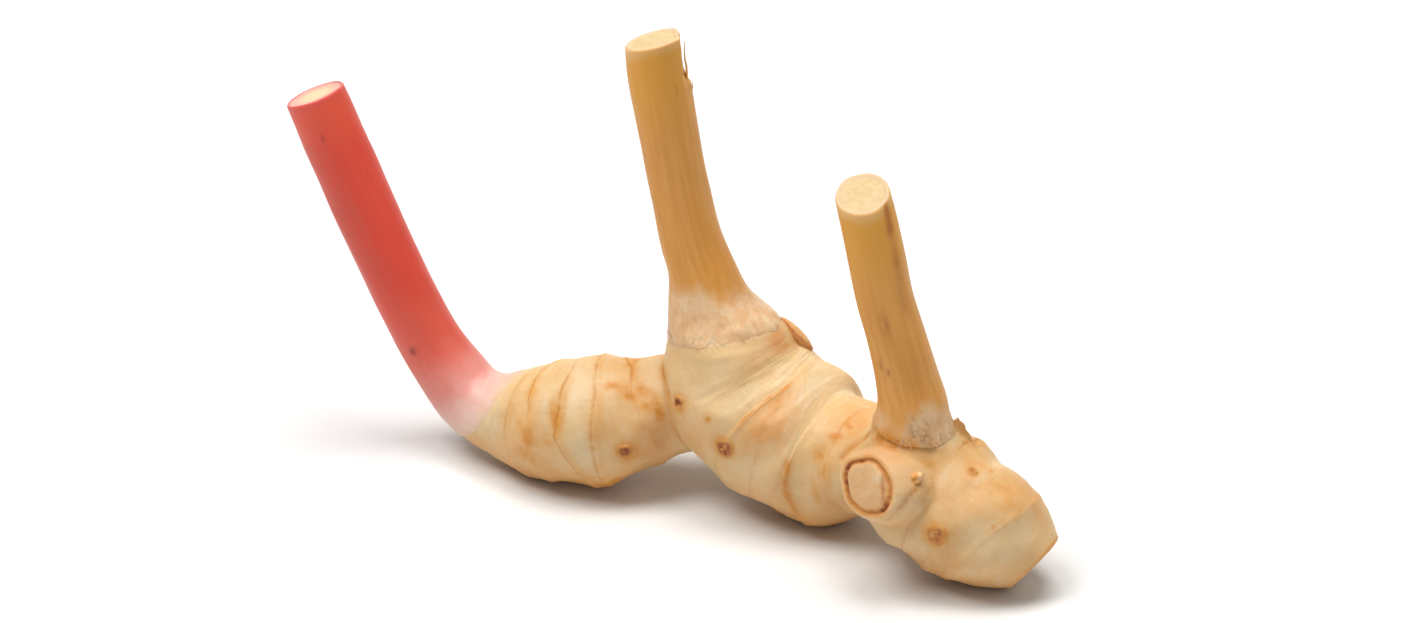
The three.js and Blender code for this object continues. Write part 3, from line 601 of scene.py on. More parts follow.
def side_stub():
    """The stub of a side shoot: a fleshy core with a painted highlight, a ragged brown scar round it and a cone of cut
    scales.
    """
    direction = unit(SIDE_STUB_AXIS)
    side = unit(np.cross(direction, [0.0, 0.0, 1.0]))
    over = np.cross(direction, side)
    reach = even_rows(0.15, SIDE_STUB_RADII[-1], SIDE_STUB_STEP)[::-1, None]
    angle = angles_for(7, 0.4)[None, :]
    reach, angle = np.broadcast_arrays(reach, angle)
    loop = np.stack([7 * np.cos(angle), 7 * np.sin(angle), 0 * angle], axis=-1)
    flat = np.stack([reach * np.cos(angle), reach * np.sin(angle), 0 * angle], axis=-1)
    wander = 0.3 * noise(loop, 4, 45) + 0.16 * noise(loop, 1.6, 46)
    wide = 1 + (around(STUB_OUTLINE, angle) - 1) * smoothstep(9, 6, reach)
    level = reach / wide + wander * smoothstep(3, 4.5, reach)
    height = np.interp(level, SIDE_STUB_RADII, SIDE_STUB_HEIGHTS)
    height += 0.28 * noise(flat, 3.2, 47) + 0.12 * noise(flat, 1.2, 48)
    height -= 0.25 * around(STUB_SCAR, angle) * np.exp(-(((level - SIDE_STUB_GROOVE) / 0.35) ** 2))
    inner = reach - around(STUB_INNER_REACH, angle) + 0.5 * wander
    line = around(STUB_INNER_LINE, angle) * np.exp(-((inner / 0.4) ** 2))
    height -= 0.25 * line
    sunk = np.clip(SIDE_STUB_HEIGHTS[0] - height, 0, 8)
    spoke = SIDE_STUB_WIDTH * np.cos(angle)[..., None] * side + np.sin(angle)[..., None] * over
    rows = np.array(SIDE_STUB_BASE) + spoke * reach[..., None] + direction * height[..., None]
    rows = rows + SIDE_STUB_SKEW * sunk[..., None]
    groove = np.exp(-(((level - SIDE_STUB_GROOVE) / 0.52) ** 4))
    uneven = np.clip(0.8 + 0.5 * noise(flat, 0.8, 43) + 0.4 * noise(flat, 2, 42), 0.2, 1)
    core = smoothstep(5, 4.2, level)
    patch = np.clip(0.3 + 0.5 * noise(flat, 2.4, 44), 0, 1) * (1 - core)
    ring_stain = 0.95 * np.exp(-(((level - SIDE_STUB_GROOVE) / 0.75) ** 4))
    body = tube(rows, {
        "scar": np.clip(groove * around(STUB_SCAR, angle) * uneven + 0.6 * line, 0, 1),
        "stain": np.maximum(np.maximum(0.7 * patch, ring_stain), 0.6 * line),
        "flesh": 0.3 * core, "share": 0.5,
        "peach": 0.75 * (1 - core) * around(STUB_PEACH, angle) + 0.7 * core,
        # The outer collar is pale; the core's upper right gets a painted highlight.
        "pale": 0.5 * (1 - core) * smoothstep(6, 6.6, level) * smoothstep(3, 0, -height) + core * smoothstep(1.4, 3, reach) * around(STUB_CORE_HIGHLIGHT, angle),
        "skin": flat + 700,
    })
    return body


def stub_bud():
    """A root bud, orange on its left, with a painted highlight in white on its right and brown along its foot."""
    place, direction, radius = STUB_BUD
    body = turned(STUB_BUD_SHAPE, 30, place, direction, 59, radius, wobble=0.26, sway=0.3)
    across = (body.points - place) @ STUB_BUD_RIGHT / radius
    drop = (body.points[:, 2] - place[2]) / radius
    body.fields["stain"] = 0.25 + 0.75 * smoothstep(0.6, -0.3, across)
    # Painted highlight: whitish on the bud's right, above its foot.
    body.fields["pale"] = 0.5 * smoothstep(-0.1, 0.5, across) * smoothstep(-0.7, -0.1, drop)
    body.fields["scar"] = 0.55 * smoothstep(-0.35, -0.85, drop)
    body.fields["skin"] = body.points + 1300
    return body


def flat_bud():
    """A small bud pressed flat to the lobe, with a thin ridge."""
    place, outward = np.array(FLAT_BUD["place"]), unit(np.array(FLAT_BUD["outward"]))
    across = unit(np.cross(outward, FLAT_BUD["along"]))
    flat_along = np.cross(across, outward)
    down = np.linspace(0.04, math.pi - 0.04, 34)[:, None]
    turn = 2 * math.pi * np.arange(56)[None, :] / 56
    ball = np.stack([np.cos(down) + 0 * turn, np.sin(down) * np.sin(turn), np.sin(down) * np.cos(turn)], axis=-1)
    length, width, height = FLAT_BUD["size"]
    swell = 1 + 0.03 * noise(ball, 0.5, 51)
    step = 0.35 * smoothstep(0.1, -0.25, ball[..., 1] + 0.35 * ball[..., 0])
    local = ball * (length, width, height) * swell[..., None] + ball * step[..., None]
    rows = place + local[..., :1] * flat_along + local[..., 1:2] * across + local[..., 2:] * outward
    edge = np.abs(ball[..., 1] + 0.35 * ball[..., 0] - 0.02)
    line = np.exp(-((edge / 0.1) ** 2)) * (ball[..., 2] > 0)
    body = tube(rows, {"peach": 0.8, "stain": 0.2 + 0.6 * line, "scar": 0.5 * line})
    body.fields["skin"] = body.points + 900
    return body


def dried_scale():
    """A thin dried scale with ragged edges that has come away from the lobe at its tip."""
    *vectors, width, thick = DRIED_SCALE
    foot, tip, sag, facing = (np.array(vector, float) for vector in vectors)
    t = np.linspace(0, 1, 26)[:, None]
    turn = 2 * math.pi * np.arange(18)[None, :] / 18
    along = unit(tip - foot)
    across = unit(np.cross(facing, along))
    over = np.cross(along, across)
    ragged = 1 + 0.35 * noise(np.stack([3 * t + 0 * turn, np.sign(np.cos(turn)) + 0 * t, 0 * t * turn], -1), 0.5, 81)
    side = np.cos(turn) * width * np.sin(math.pi * (0.15 + 0.72 * t)) ** 0.7 * ragged
    depth = np.sin(turn) * thick + 0.35 * (side / width) ** 2
    spine = foot + t * (tip - foot) + 4 * t * (1 - t) * sag
    rows = spine[:, None, :] + side[..., None] * across + depth[..., None] * over
    edge = np.abs(np.cos(turn)) ** 6 * (0.5 + 0.5 * t)
    body = tube(rows, {"stain": 0.75, "scar": 0.1 + 0.35 * edge, "glow": 0})
    body.fields["skin"] = body.points + 1100
    return body


def mesh_object(name, points, faces):
    mesh = bpy.data.meshes.new(name)
    mesh.from_pydata((points * MM).tolist(), [], faces)
    mesh.update()
    made = bpy.data.objects.new(name, mesh)
    bpy.context.scene.collection.objects.link(made)
    return made


def points_of(made):
    flat = np.empty(len(made.data.vertices) * 3)
    made.data.vertices.foreach_get("co", flat)
    return flat.reshape(-1, 3) / MM


def normals_of(made):
    flat = np.empty(len(made.data.vertices) * 3)
    made.data.vertices.foreach_get("normal", flat)
    return flat.reshape(-1, 3)


def edges_of(made):
    flat = np.empty(len(made.data.edges) * 2, dtype=np.int32)
    made.data.edges.foreach_get("vertices", flat)
    return flat.reshape(-1, 2)


def relax(points, edges, weight, rounds):
    """Moves points with a weight towards the mean of their neighbours."""
    edges = edges[weight[edges].max(axis=1) > 0]
    count = np.maximum(np.bincount(edges.ravel(), minlength=len(points)), 1)
    for _ in range(rounds):
        mean = np.empty_like(points)
        for axis in range(3):
            total = np.bincount(edges[:, 0], points[edges[:, 1], axis], len(points))
            total += np.bincount(edges[:, 1], points[edges[:, 0], axis], len(points))
            mean[:, axis] = total / count
        points = points + weight[:, None] * (mean - points)
    return points


def tree_of(points):
    tree = kdtree.KDTree(len(points))
    for index, point in enumerate(points.tolist()):
        tree.insert(point, index)
    tree.balance()
    return tree


def paint(made, fields):
    for name, value in fields.items():
        kind = "FLOAT_VECTOR" if name == "skin" else "FLOAT"
        layer = made.data.attributes.new(name, kind, "POINT")
        layer.data.foreach_set("vector" if name == "skin" else "value", value.astype(np.float32).ravel())


def finish_mesh(made, points, fields):
    """Moves the points to the part's frame, flattens what lies below the floor, and paints."""
    placed = points - FOOTPRINT_CENTRE
    placed[:, 2] = np.maximum(placed[:, 2], 0)
    made.data.vertices.foreach_set("co", (placed * MM).ravel())
    made.data.shade_smooth()
    made.data.update()
    paint(made, fields)


def union(first, second):
    cutter = first.modifiers.new("join", "BOOLEAN")
    cutter.operation, cutter.solver, cutter.object = "UNION", "MANIFOLD", second
    bpy.context.view_layer.update()
    evaluated = first.evaluated_get(bpy.context.evaluated_depsgraph_get())
    mesh = bpy.data.meshes.new_from_object(evaluated)
    first.modifiers.clear()
    first.data = mesh
    bpy.data.objects.remove(second)


def nearest_fields(points, source):
    """Fields at points, from the nearest point of the source body."""
    tree = tree_of(source.points)
    index = np.array([tree.find(point)[1] for point in points.tolist()])
    return {name: value[index] for name, value in source.fields.items()}


def distance_to(others, points):
    tree = tree_of(others)
    return np.array([tree.find(point)[2] for point in points.tolist()])


def make_rhizome():
    """The three lobes, the stub, the bud and the scars joined to one surface, its creases eased."""
    lobes = [
        (lobe(middle_skin, 16.5, MIDDLE_STAINS, MIDDLE_PEACH, MIDDLE_PALE, 5, spots=MIDDLE_BENDS, fills=MIDDLE_FILLS),
         0, 0, 0),
        (lobe(left_skin, 13.5, LEFT_STAINS, LEFT_PEACH, LEFT_PALE, reach=5), 1.0, 0.7, 14),
        (lobe(end_skin, 13.5, END_STAINS, END_PEACH, END_PALE, cut_start=True), 1.2, 0.6, 14),
        (lobe(end_base_skin, 11, BASE_STAINS, reach=4), 7.0, 0.1, 160),
        (side_stub(), 0.9, 0.5, 14),
    ]
    whole = mesh_object("rhizome_skin", lobes[0][0].points, lobes[0][0].faces)
    known = lobes[0][0].points
    seams = []
    for body, reach, dark, rounds in lobes[1:]:
        union(whole, mesh_object("part", body.points, body.faces))
        known = np.concatenate([known, body.points])
        points = points_of(whole)
        new = points[distance_to(known, points) > 1e-3]
        seams.append((new, dark))
        points = ease_seam(points, edges_of(whole), new, reach, rounds)
        whole.data.vertices.foreach_set("co", (points * MM).ravel())
        known = points
    details = together(small_forms())
    union(whole, mesh_object("part", details.points, details.faces))
    points = points_of(whole)
    known = np.concatenate([known, details.points])
    rims = points[distance_to(known, points) > 1e-3]
    points = relax(points, edges_of(whole), 0.5 * smoothstep(0.6, 0.2, distance_to(rims, points)), 4)
    source = together([*(body for body, *_ in lobes), details])
    fields = blended(nearest_fields(points, source), points, edges_of(whole), [seam for seam, _ in seams])
    for seam, dark in seams:
        away = distance_to(seam, points)
        uneven = np.clip(0.8 + 0.5 * noise(points, 3, 71), 0.2, 1) * (1 - 0.5 * low_share(points))
        fields["stain"] = np.maximum(fields["stain"], dark * uneven * np.exp(-((away / 1.1) ** 2)))
        fields["scar"] = np.maximum(fields["scar"], 0.3 * dark * uneven * np.exp(-((away / 0.4) ** 2)))
    halo(points, fields)
    points = mark_creases(points, normals_of(whole), fields)
    finish_mesh(whole, points, fields)
    return whole


def ease_seam(points, edges, seam, reach, rounds):
    """Smooths the surface within reach of the points of a seam, and further where it is low."""
    near = np.all((points > seam.min(axis=0) - 9) & (points < seam.max(axis=0) + 9), axis=1)
    weight = np.zeros(len(points))
    away = distance_to(seam, points[near])
    low = smoothstep(16, 8, points[near, 2])
    weight[near] = 0.6 * smoothstep(reach + 4 * low + 0.3, 0.3, away)
    return relax(points, edges, weight, rounds)


def blended(fields, points, edges, seams):
    """Lets the colours run into each other where lobes meet."""
    names = ("stain", "peach", "pale")
    away = np.minimum.reduce([distance_to(seam, points) for seam in seams])
    colours = np.stack([fields[name] for name in names], axis=1)
    colours = relax(colours, edges, 0.8 * smoothstep(3.5, 0.5, away), 40)
    return {**fields, **dict(zip(names, colours.T))}


def mark_creases(points, normals, fields):
    """Sinks and stains the skin along the creases."""
    for path, width, depth, stain, scar, left in CREASES:
        path = np.array(path, float)
        reach = np.concatenate([[0], np.cumsum(np.linalg.norm(np.diff(path, axis=0), axis=1))])
        along = np.arange(0, reach[-1], 0.15)
        line = np.stack([np.interp(along, reach, path[:, axis]) for axis in range(3)], axis=-1)
        near = np.all((points > path.min(axis=0) - 4) & (points < path.max(axis=0) + 4), axis=1)
        facing = normals[near][:, None, :]
        apart = points[near, None, :] - line[None, :, :]
        rise = np.clip(np.sum(apart * facing, axis=2, keepdims=True), -CREASE_REACH, CREASE_REACH)
        apart = np.linalg.norm(apart - rise * facing, axis=2)
        share = 1 - (1 - left) * along[apart.argmin(axis=1)] / reach[-1]
        away = apart.min(axis=1) + 0.3 * width * noise(points[near], 0.9, 73)
        uneven = np.clip(0.9 + 0.35 * noise(points[near], 1.8, 72), 0.5, 1.1)
        sunk = depth * share * np.exp(-((away / width) ** 2))
        points[near] -= sunk[:, None] * normals[near]
        glow = stain * share * uneven * np.exp(-((away / (1.6 * width)) ** 2))
        ink = scar * share * uneven * np.exp(-((away / (0.6 * width)) ** 2))
        fields["stain"][near] = np.maximum(fields["stain"][near], glow)
        fields["scar"][near] = np.maximum(fields["scar"][near], ink)
    return points


def low_share(points):
    return smoothstep(18, 10, points[:, 2])


def small_forms():
    """The flat bud, the root scars and a few dried scales."""
    small = [flat_bud()]
    for skin, scars in ((left_skin, LEFT_SCARS), (middle_skin, MIDDLE_SCARS), (end_skin, END_SCARS)):
        for index, (at, degrees, radius, darkness) in enumerate(scars):
            small.append(root_scar(*skin.point(at, degrees), radius, darkness, seed=60 + index))
    small.append(stub_bud())
    small.append(dried_scale())
    return small


def halo(points, fields):
    """Stains the skin round each root scar."""
    for skin, scars in ((left_skin, LEFT_SCARS), (middle_skin, MIDDLE_SCARS), (end_skin, END_SCARS)):
        for at, degrees, radius, darkness in scars:
            place, _ = skin.point(at, degrees)
            away = np.linalg.norm(points - place, axis=1)
            glow = np.exp(-((np.maximum(away - radius, 0) / (0.4 + 0.4 * radius)) ** 2))
            fields["stain"] = np.maximum(fields["stain"], (0.45 + 0.35 * darkness) * glow)


def stem(skin, radius, relief, lip, seed, cut_shape=STEM_CUT_SHAPE):
    """A shoot's cut piece: a ragged sheath edge over the rhizome, a skin with relief, and a cut top."""
    low, high = skin.start["at"], skin.end["at"]
    angle = angles_for(radius, STEM_STEP)[None, :]
    tuck_rows = np.array([low, low, low + 0.12, low + 0.3])
    row = np.concatenate([tuck_rows, even_rows(low + 0.6, high - 0.35, STEM_STEP), [high - 0.15, high]])[:, None]
    row, angle = np.broadcast_arrays(row, angle)
    loop = np.stack([radius * np.cos(angle), radius * np.sin(angle), np.full(angle.shape, 50.0 * seed)], axis=-1)
    ragged = 0.9 * noise(loop, 2.2, seed) + 0.5 * noise(loop, 0.8, seed + 1)
    rise = row - low
    row = row + lip * ragged * smoothstep(5, 1, rise)
    centre, outward, girth, distance = skin.place(row, angle)
    flat = skin.flat(distance, angle, girth)
    extra, fields = relief(row, angle, flat)
    extra = extra + lip * SHEATH_LIP * smoothstep(SHEATH_LIP_LENGTH, 0, rise) - SHEATH_DIVE * smoothstep(1, 0, rise)
    extra[0] = -1.3
    extra[-1] -= 0.14
    extra[-2] -= 0.03
    rows = centre + outward * (girth + extra)[..., None]
    along = skin.axis.frame(np.array(high))[0]
    face, shares = cut_rows(rows[-1], along, cut_shape, seed=seed + 5)
    count = len(cut_shape)
    fields = {"skin": flat, "grow": row - low, "below": high - row, **fields}
    painted = {}
    for name, value in fields.items():
        value = np.broadcast_to(value, (*row.shape, 3) if name == "skin" else row.shape)
        painted[name] = np.concatenate([value, np.repeat(value[-1:], count, axis=0)])
    painted["skin"] = np.array(painted["skin"])
    painted["skin"][-count:] = face
    painted["flesh"] = np.concatenate([np.zeros(row.shape), np.ones((count, row.shape[1]))])
    painted["share"] = np.concatenate([np.ones(row.shape), shares])
    return tube(np.concatenate([rows, face]), painted)


# How far the cream of the flaring base reaches up a tan stem, by degrees round it.
MIDDLE_PALE_EDGE = [(-70, 9.5), (-30, 10.5), (6, 13), (40, 11), (70, 11), (120, 10), (180, 10)]
END_BASE_GOLD = [(-90, 0.6), (-50, 0.8), (-15, 1.4), (8, 1.5), (25, 1.2), (45, 0.4), (60, 0.15), (120, 0.3), (180, 0.6)]
END_PALE_EDGE = [(-60, 4.5), (-35, 4.5), (-10, 2.5), (8, 2), (20, 6), (40, 8), (60, 7.5), (74, 6.5), (120, 4), (180, 3)]


def sheath_margin(angle, row, start, twist, depth):
    """The free margin of a leaf sheath: a small step that winds slowly round the shoot."""
    turn = (np.degrees(angle) - start - twist * row + 180) % 360 - 180
    return -depth * smoothstep(-2.5, 2.5, turn) * smoothstep(70, 10, turn), np.exp(-((turn / 3) ** 2))


def pink_relief(row, angle, flat):
    step, line = sheath_margin(angle, row - 76, 150, 0.4, 0.15)
    fibres = 0.015 * noise(flat * (1, 1, 0.06), 0.9, 101) + 0.05 * noise(flat * (1, 1, 0.3), 3, 102)
    marks = stain_of(
        [(85.9, 1, 1, 0.9, 1), (139.8, 20, 0.9, 0.4, 0.8), (141, 26, 0.4, 0.3, 0.5), (102, -170, 0.8, 0.7, 0.7)],
        row, angle, 7.2, flat)
    # Painted shade on the shoot's left side, front and back, stored with its stains.
    painted_side_shade = stain_of([(118, -12, 16, 5, 0.6), (132, -20, 9, 4, 0.5), (108, -170, 16, 6, 0.4)], row, angle, 7.2, flat)
    fade = smoothstep(62, 74, row)
    return (step + fibres) * fade, {"scar": marks, "stain": painted_side_shade, "line": line * fade}


def tan_relief(seed, flare, pale_edge):
    """Relief of a tan stem: fibres, a sheath margin, ridges where its base flares, and its pale height."""

    def relief(row, angle, flat):
        low = row[0, 0]
        step, line = sheath_margin(angle, row - low, 150 + 90 * seed, 0.3, 0.1)
        fibres = 0.018 * noise(flat * (1, 1, 0.05), 0.8, 110 + seed) + 0.05 * noise(flat * (1, 1, 0.25), 3, 111)
        near = smoothstep(low + flare, low + 1, row)
        side = 0.45 + 0.55 * smoothstep(-0.3, 0.6, np.sin(angle))
        rise = smoothstep(low, low + 2.5, row)
        ridges = (0.08 + 0.26 * rise) * near * side * noise(flat * (1, 1, 0.12), 1.1, 112 + seed)
        pleats = 0.18 * near * rise * noise(flat * (0.4, 0.4, 1), 1.4, 113 + seed)
        edge = low + around(pale_edge, angle) + 1.6 * noise(flat * (1, 1, 0.3), 1.8, 118 + seed)
        pale = smoothstep(edge + 3, edge - 3, row)
        return step * (1 - near) + fibres + ridges + pleats, {"line": line * (1 - near), "pale": pale}

    return relief


def middle_relief(row, angle, flat):
    extra, fields = tan_relief(0, 9, MIDDLE_PALE_EDGE)(row, angle, flat)
    loop = flat * (1, 1, 0.02)
    jagged = TEAR["above"] + 1.4 * noise(loop, 1.3, 121) + 0.6 * noise(loop, 0.5, 122)
    turn = np.degrees(angle) - TEAR["angle"]
    turn = (turn + 180) % 360 - 180 + 3 * noise(flat * (0.3, 0.3, 1), 1.5, 123)
    side = smoothstep(0, 2 * TEAR["edge"], TEAR["half_width"] - 3 - np.abs(turn))
    torn = side * smoothstep(-0.2, 0.5, row - jagged)
    raw = 0.12 * torn * noise(flat * (1, 1, 0.05), 0.5, 124)
    fields["stain"] = 0.4 * side * np.exp(-(((row - jagged) / 0.6) ** 2)) * (row > TEAR["above"] - 2)
    depth = TEAR["depth"] * smoothstep(TEAR["above"] - 1, TEAR["full"], row)
    return extra - depth * torn + raw, fields


def end_relief(row, angle, flat):
    extra, fields = tan_relief(1, 6, END_PALE_EDGE)(row, angle, flat)
    marks = stain_of(
        [(34.7, -19, 1.2, 0.5, 0.9), (33.3, -4, 1, 0.45, 0.9), (36.4, -12, 0.8, 0.3, 0.6),
         (45.7, 20, 1.2, 0.3, 0.6), (50, -160, 1.5, 0.5, 0.7)],
        row, angle, 6.3, flat)
    stains = stain_of(
        [(67, 72, 2.4, 1, 1.4), (70, 75, 2.4, 0.9, 1.3), (58, 70, 6, 1, 0.7), (50, 66, 5, 0.8, 0.6), (45, 15, 4, 1.2, 0.4), (40, 150, 6, 2, 0.5)],
        row, angle, 6.3, flat)
    golden = around(END_BASE_GOLD, angle) * np.exp(-(((row - row[0, 0]) / 2.3) ** 2))
    uneven = np.clip(0.8 + 0.5 * noise(flat, 1.6, 127), 0.2, 1)
    return extra, {**fields, "scar": marks, "stain": stains, "peach": golden * uneven}


def blade(foot, tip, width, thick, facing, seed):
    """A thin tapering splinter from a foot to a tip."""
    spine = unit(tip - foot)
    across = unit(np.cross(facing, spine))
    over = np.cross(spine, across)
    t = np.linspace(0, 1, 26)[:, None]
    turn = 2 * math.pi * np.arange(10)[None, :] / 10
    taper = (1 - t) ** 0.7 + 0.04
    wave = 0.25 * noise(np.stack([t * 3, t * 0, t * 0], axis=-1), 0.5, seed)
    height = np.linalg.norm(tip - foot)
    side = width * taper * np.cos(turn)
    depth = thick * taper * np.sin(turn) + wave
    rows = foot + (t * height)[..., None] * spine + side[..., None] * across + depth[..., None] * over
    return rows


def splinters():
    """The splinter at the tear of the middle stem, and finer ones beside it."""
    skin, bodies = middle_stem_skin, []
    foot, _ = skin.point(SPLINTER["from"], SPLINTER["angle"], -SPLINTER["radius"])
    _, outward = skin.point(SPLINTER["to"], SPLINTER["angle"])
    tip = skin.axis.at(np.array(float(SPLINTER["to"])))[0] + outward * SPLINTER["tip_out"]
    plans = [(foot, tip, 0.75, 0.28)]
    for start, end, degrees, out in ((117, 121.5, 62, 0.3), (116.5, 120, 118, 0.35), (128, 131.3, 50, 0.2)):
        low, _ = skin.point(start, degrees, -0.4)
        high, _ = skin.point(end, degrees, out)
        plans.append((low, high, 0.3, 0.16))
    for seed, (low, high, width, thick) in enumerate(plans):
        rows = blade(low, high, width, thick, outward, 130 + seed)
        body = tube(rows, {"below": 9, "glow": 0})
        body.fields["skin"] = body.points * (1, 1, 0.1) + 40
        bodies.append(body)
    return bodies


def base_fibres(skin, count, low, high, seed):
    """Short dry fibres lying over a sheath's ragged edge."""
    rng, bodies = np.random.default_rng(seed), []
    for _ in range(count):
        at, degrees = rng.uniform(low, high), rng.uniform(0, 360)
        length, lean = rng.uniform(0.8, 2.6), rng.uniform(-16, 16)
        foot, outward = skin.point(at + length, degrees + lean, 0.02)
        tip, _ = skin.point(at, degrees, rng.uniform(0.15, 0.45))
        rows = blade(foot, tip, 0.14, 0.07, outward, seed)
        body = tube(rows[:, ::2], {"pale": 1, "stain": rng.uniform(0, 0.4), "glow": 0})
        body.fields["skin"] = body.points + 60
        bodies.append(body)
    return bodies


def tuft_fibres(count, seed):
    """Short pale fibres lying every way along the tuft's line."""
    rng, bodies = np.random.default_rng(seed), []
    path = np.array(TUFT, float)
    outward = unit(np.array([0.35, -0.9, 0.25]))
    for _ in range(count):
        where = rng.uniform(0, len(path) - 1)
        foot = np.stack([np.interp(where, range(len(path)), path[:, axis]) for axis in range(3)])
        spread = rng.normal(0, 1.1, 3)
        foot = foot + spread - outward * (spread @ outward)
        lie = unit(rng.normal(0, 1, 3) * (1, 0.3, 1) - (0, 0, 0.4))
        tip = foot + lie * rng.uniform(0.8, 2.0) + outward * rng.uniform(0, 0.1)
        rows = blade(foot, tip, 0.14, 0.08, outward, seed)
        body = tube(rows[::3, ::2], {"pale": 1, "stain": rng.uniform(0.1, 0.6), "glow": 0})
        body.fields["skin"] = body.points + 80
        bodies.append(body)
    return bodies


def solid_piece(name, bodies):
    whole = together(bodies)
    made = mesh_object(name, whole.points, whole.faces)
    finish_mesh(made, whole.points, whole.fields)
    return made


PINK_CUT_SHAPE = [
    (0.985, 0.12), (0.965, 0.16), (0.94, 0.1), (0.915, -0.08), (0.895, -0.12), (0.87, 0.02), (0.84, 0.02),
    (0.81, -0.14), (0.78, -0.18), (0.74, -0.12), (0.68, -0.15), (0.6, -0.2), (0.5, -0.22), (0.4, -0.22),
    (0.3, -0.2), (0.2, -0.18), (0.1, -0.17), (0.04, -0.17),
]

rhizome = make_rhizome()
pink_shoot = solid_piece("pink_shoot_skin", [stem(pink_skin, 7.3, pink_relief, 0.0, 90, PINK_CUT_SHAPE)])
middle_stem = solid_piece("middle_stem_skin", [
    stem(middle_stem_skin, 7.4, middle_relief, 0.7, 92), *splinters(),
    *base_fibres(middle_stem_skin, 70, MIDDLE_SEAM["at"] - 1, MIDDLE_SEAM["at"] + 1.5, 7),
])
end_stem = solid_piece("end_stem_skin", [
    stem(end_stem_skin, 7.2, end_relief, 0.35, 94),
    *base_fibres(end_stem_skin, 40, END_SEAM["at"] - 1, END_SEAM["at"] + 1.5, 8), *tuft_fibres(50, 9),
])


LIGHT_LEVEL = 1.32


def srgb(red, green, blue):
    """The surface colour that looks like 0 to 255 on screen where the light is at its level."""
    def linear(value):
        value /= 255
        return value / 12.92 if value <= 0.04045 else ((value + 0.055) / 1.055) ** 2.4
    return (*(linear(value) / LIGHT_LEVEL for value in (red, green, blue)), 1.0)


class Look:
    """A node material built from a few short calls."""

    def __init__(self, name):
        self.material = bpy.data.materials.new(name)
        self.material.use_nodes = True
        self.tree = self.material.node_tree
        self.shader = next(n for n in self.tree.nodes if n.type == "BSDF_PRINCIPLED")

    def node(self, kind, inputs=(), **settings):
        made = self.tree.nodes.new(kind)
        for name, value in settings.items():
            setattr(made, name, value)
        for key, value in dict(inputs).items():
            if isinstance(value, bpy.types.NodeSocket):
                self.tree.links.new(value, made.inputs[key])
            else:
                made.inputs[key].default_value = value
        return made

    def field(self, name):
        made = self.node("ShaderNodeAttribute", attribute_name=name)
        return made.outputs["Vector" if name == "skin" else "Fac"]

    def maths(self, operation, first, second=0.0, clamp=False):
        made = self.node("ShaderNodeMath", {0: first, 1: second}, operation=operation, use_clamp=clamp)
        return made.outputs[0]

    def stretched(self, vector, scale):
        made = self.node("ShaderNodeVectorMath", {0: vector, 1: scale}, operation="MULTIPLY")
        return made.outputs[0]

    def noise(self, vector, size, detail=2.0, roughness=0.5, distortion=0.0):
        inputs = {
            "Vector": vector, "Scale": 1 / size, "Detail": detail, "Roughness": roughness,
            "Distortion": distortion,
        }
        return self.node("ShaderNodeTexNoise", inputs).outputs["Fac"]

    def remap(self, value, low, high, to_low=0.0, to_high=1.0):
        inputs = {"Value": value, "From Min": low, "From Max": high, "To Min": to_low, "To Max": to_high}
        return self.node("ShaderNodeMapRange", inputs, interpolation_type="SMOOTHSTEP").outputs["Result"]

    def mix(self, share, first, second, blend="MIX"):
        made = self.node("ShaderNodeMix", {0: share, 6: first, 7: second}, data_type="RGBA", blend_type=blend)
        return made.outputs[2]

    def bump(self, height, strength, distance, normal=None):
        inputs = {"Height": height, "Strength": strength, "Distance": distance}
        if normal is not None:
            inputs["Normal"] = normal
        return self.node("ShaderNodeBump", inputs).outputs["Normal"]

    def finish(self, color, roughness, normal, **values):
        links = self.tree.links
        links.new(color, self.shader.inputs["Base Color"])
        links.new(roughness, self.shader.inputs["Roughness"])
        links.new(normal, self.shader.inputs["Normal"])
        clear = self.maths("SUBTRACT", 1.0, self.maths("MULTIPLY", self.field("scar"), 2.0), clamp=True)
        glow = self.maths("MULTIPLY", self.maths("MULTIPLY", self.field("glow"), clear), FLESH_GLOW_SHARE)
        links.new(glow, self.shader.inputs["Subsurface Weight"])
        for name, value in values.items():
            self.shader.inputs[name.replace("_", " ")].default_value = value
        return self.material


FLESH_GLOW_SHARE = 0.35
FLESH_GLOW = {"Subsurface_Radius": (1.0, 0.5, 0.22), "Subsurface_Scale": 0.0016, "Specular_IOR_Level": 0.4}


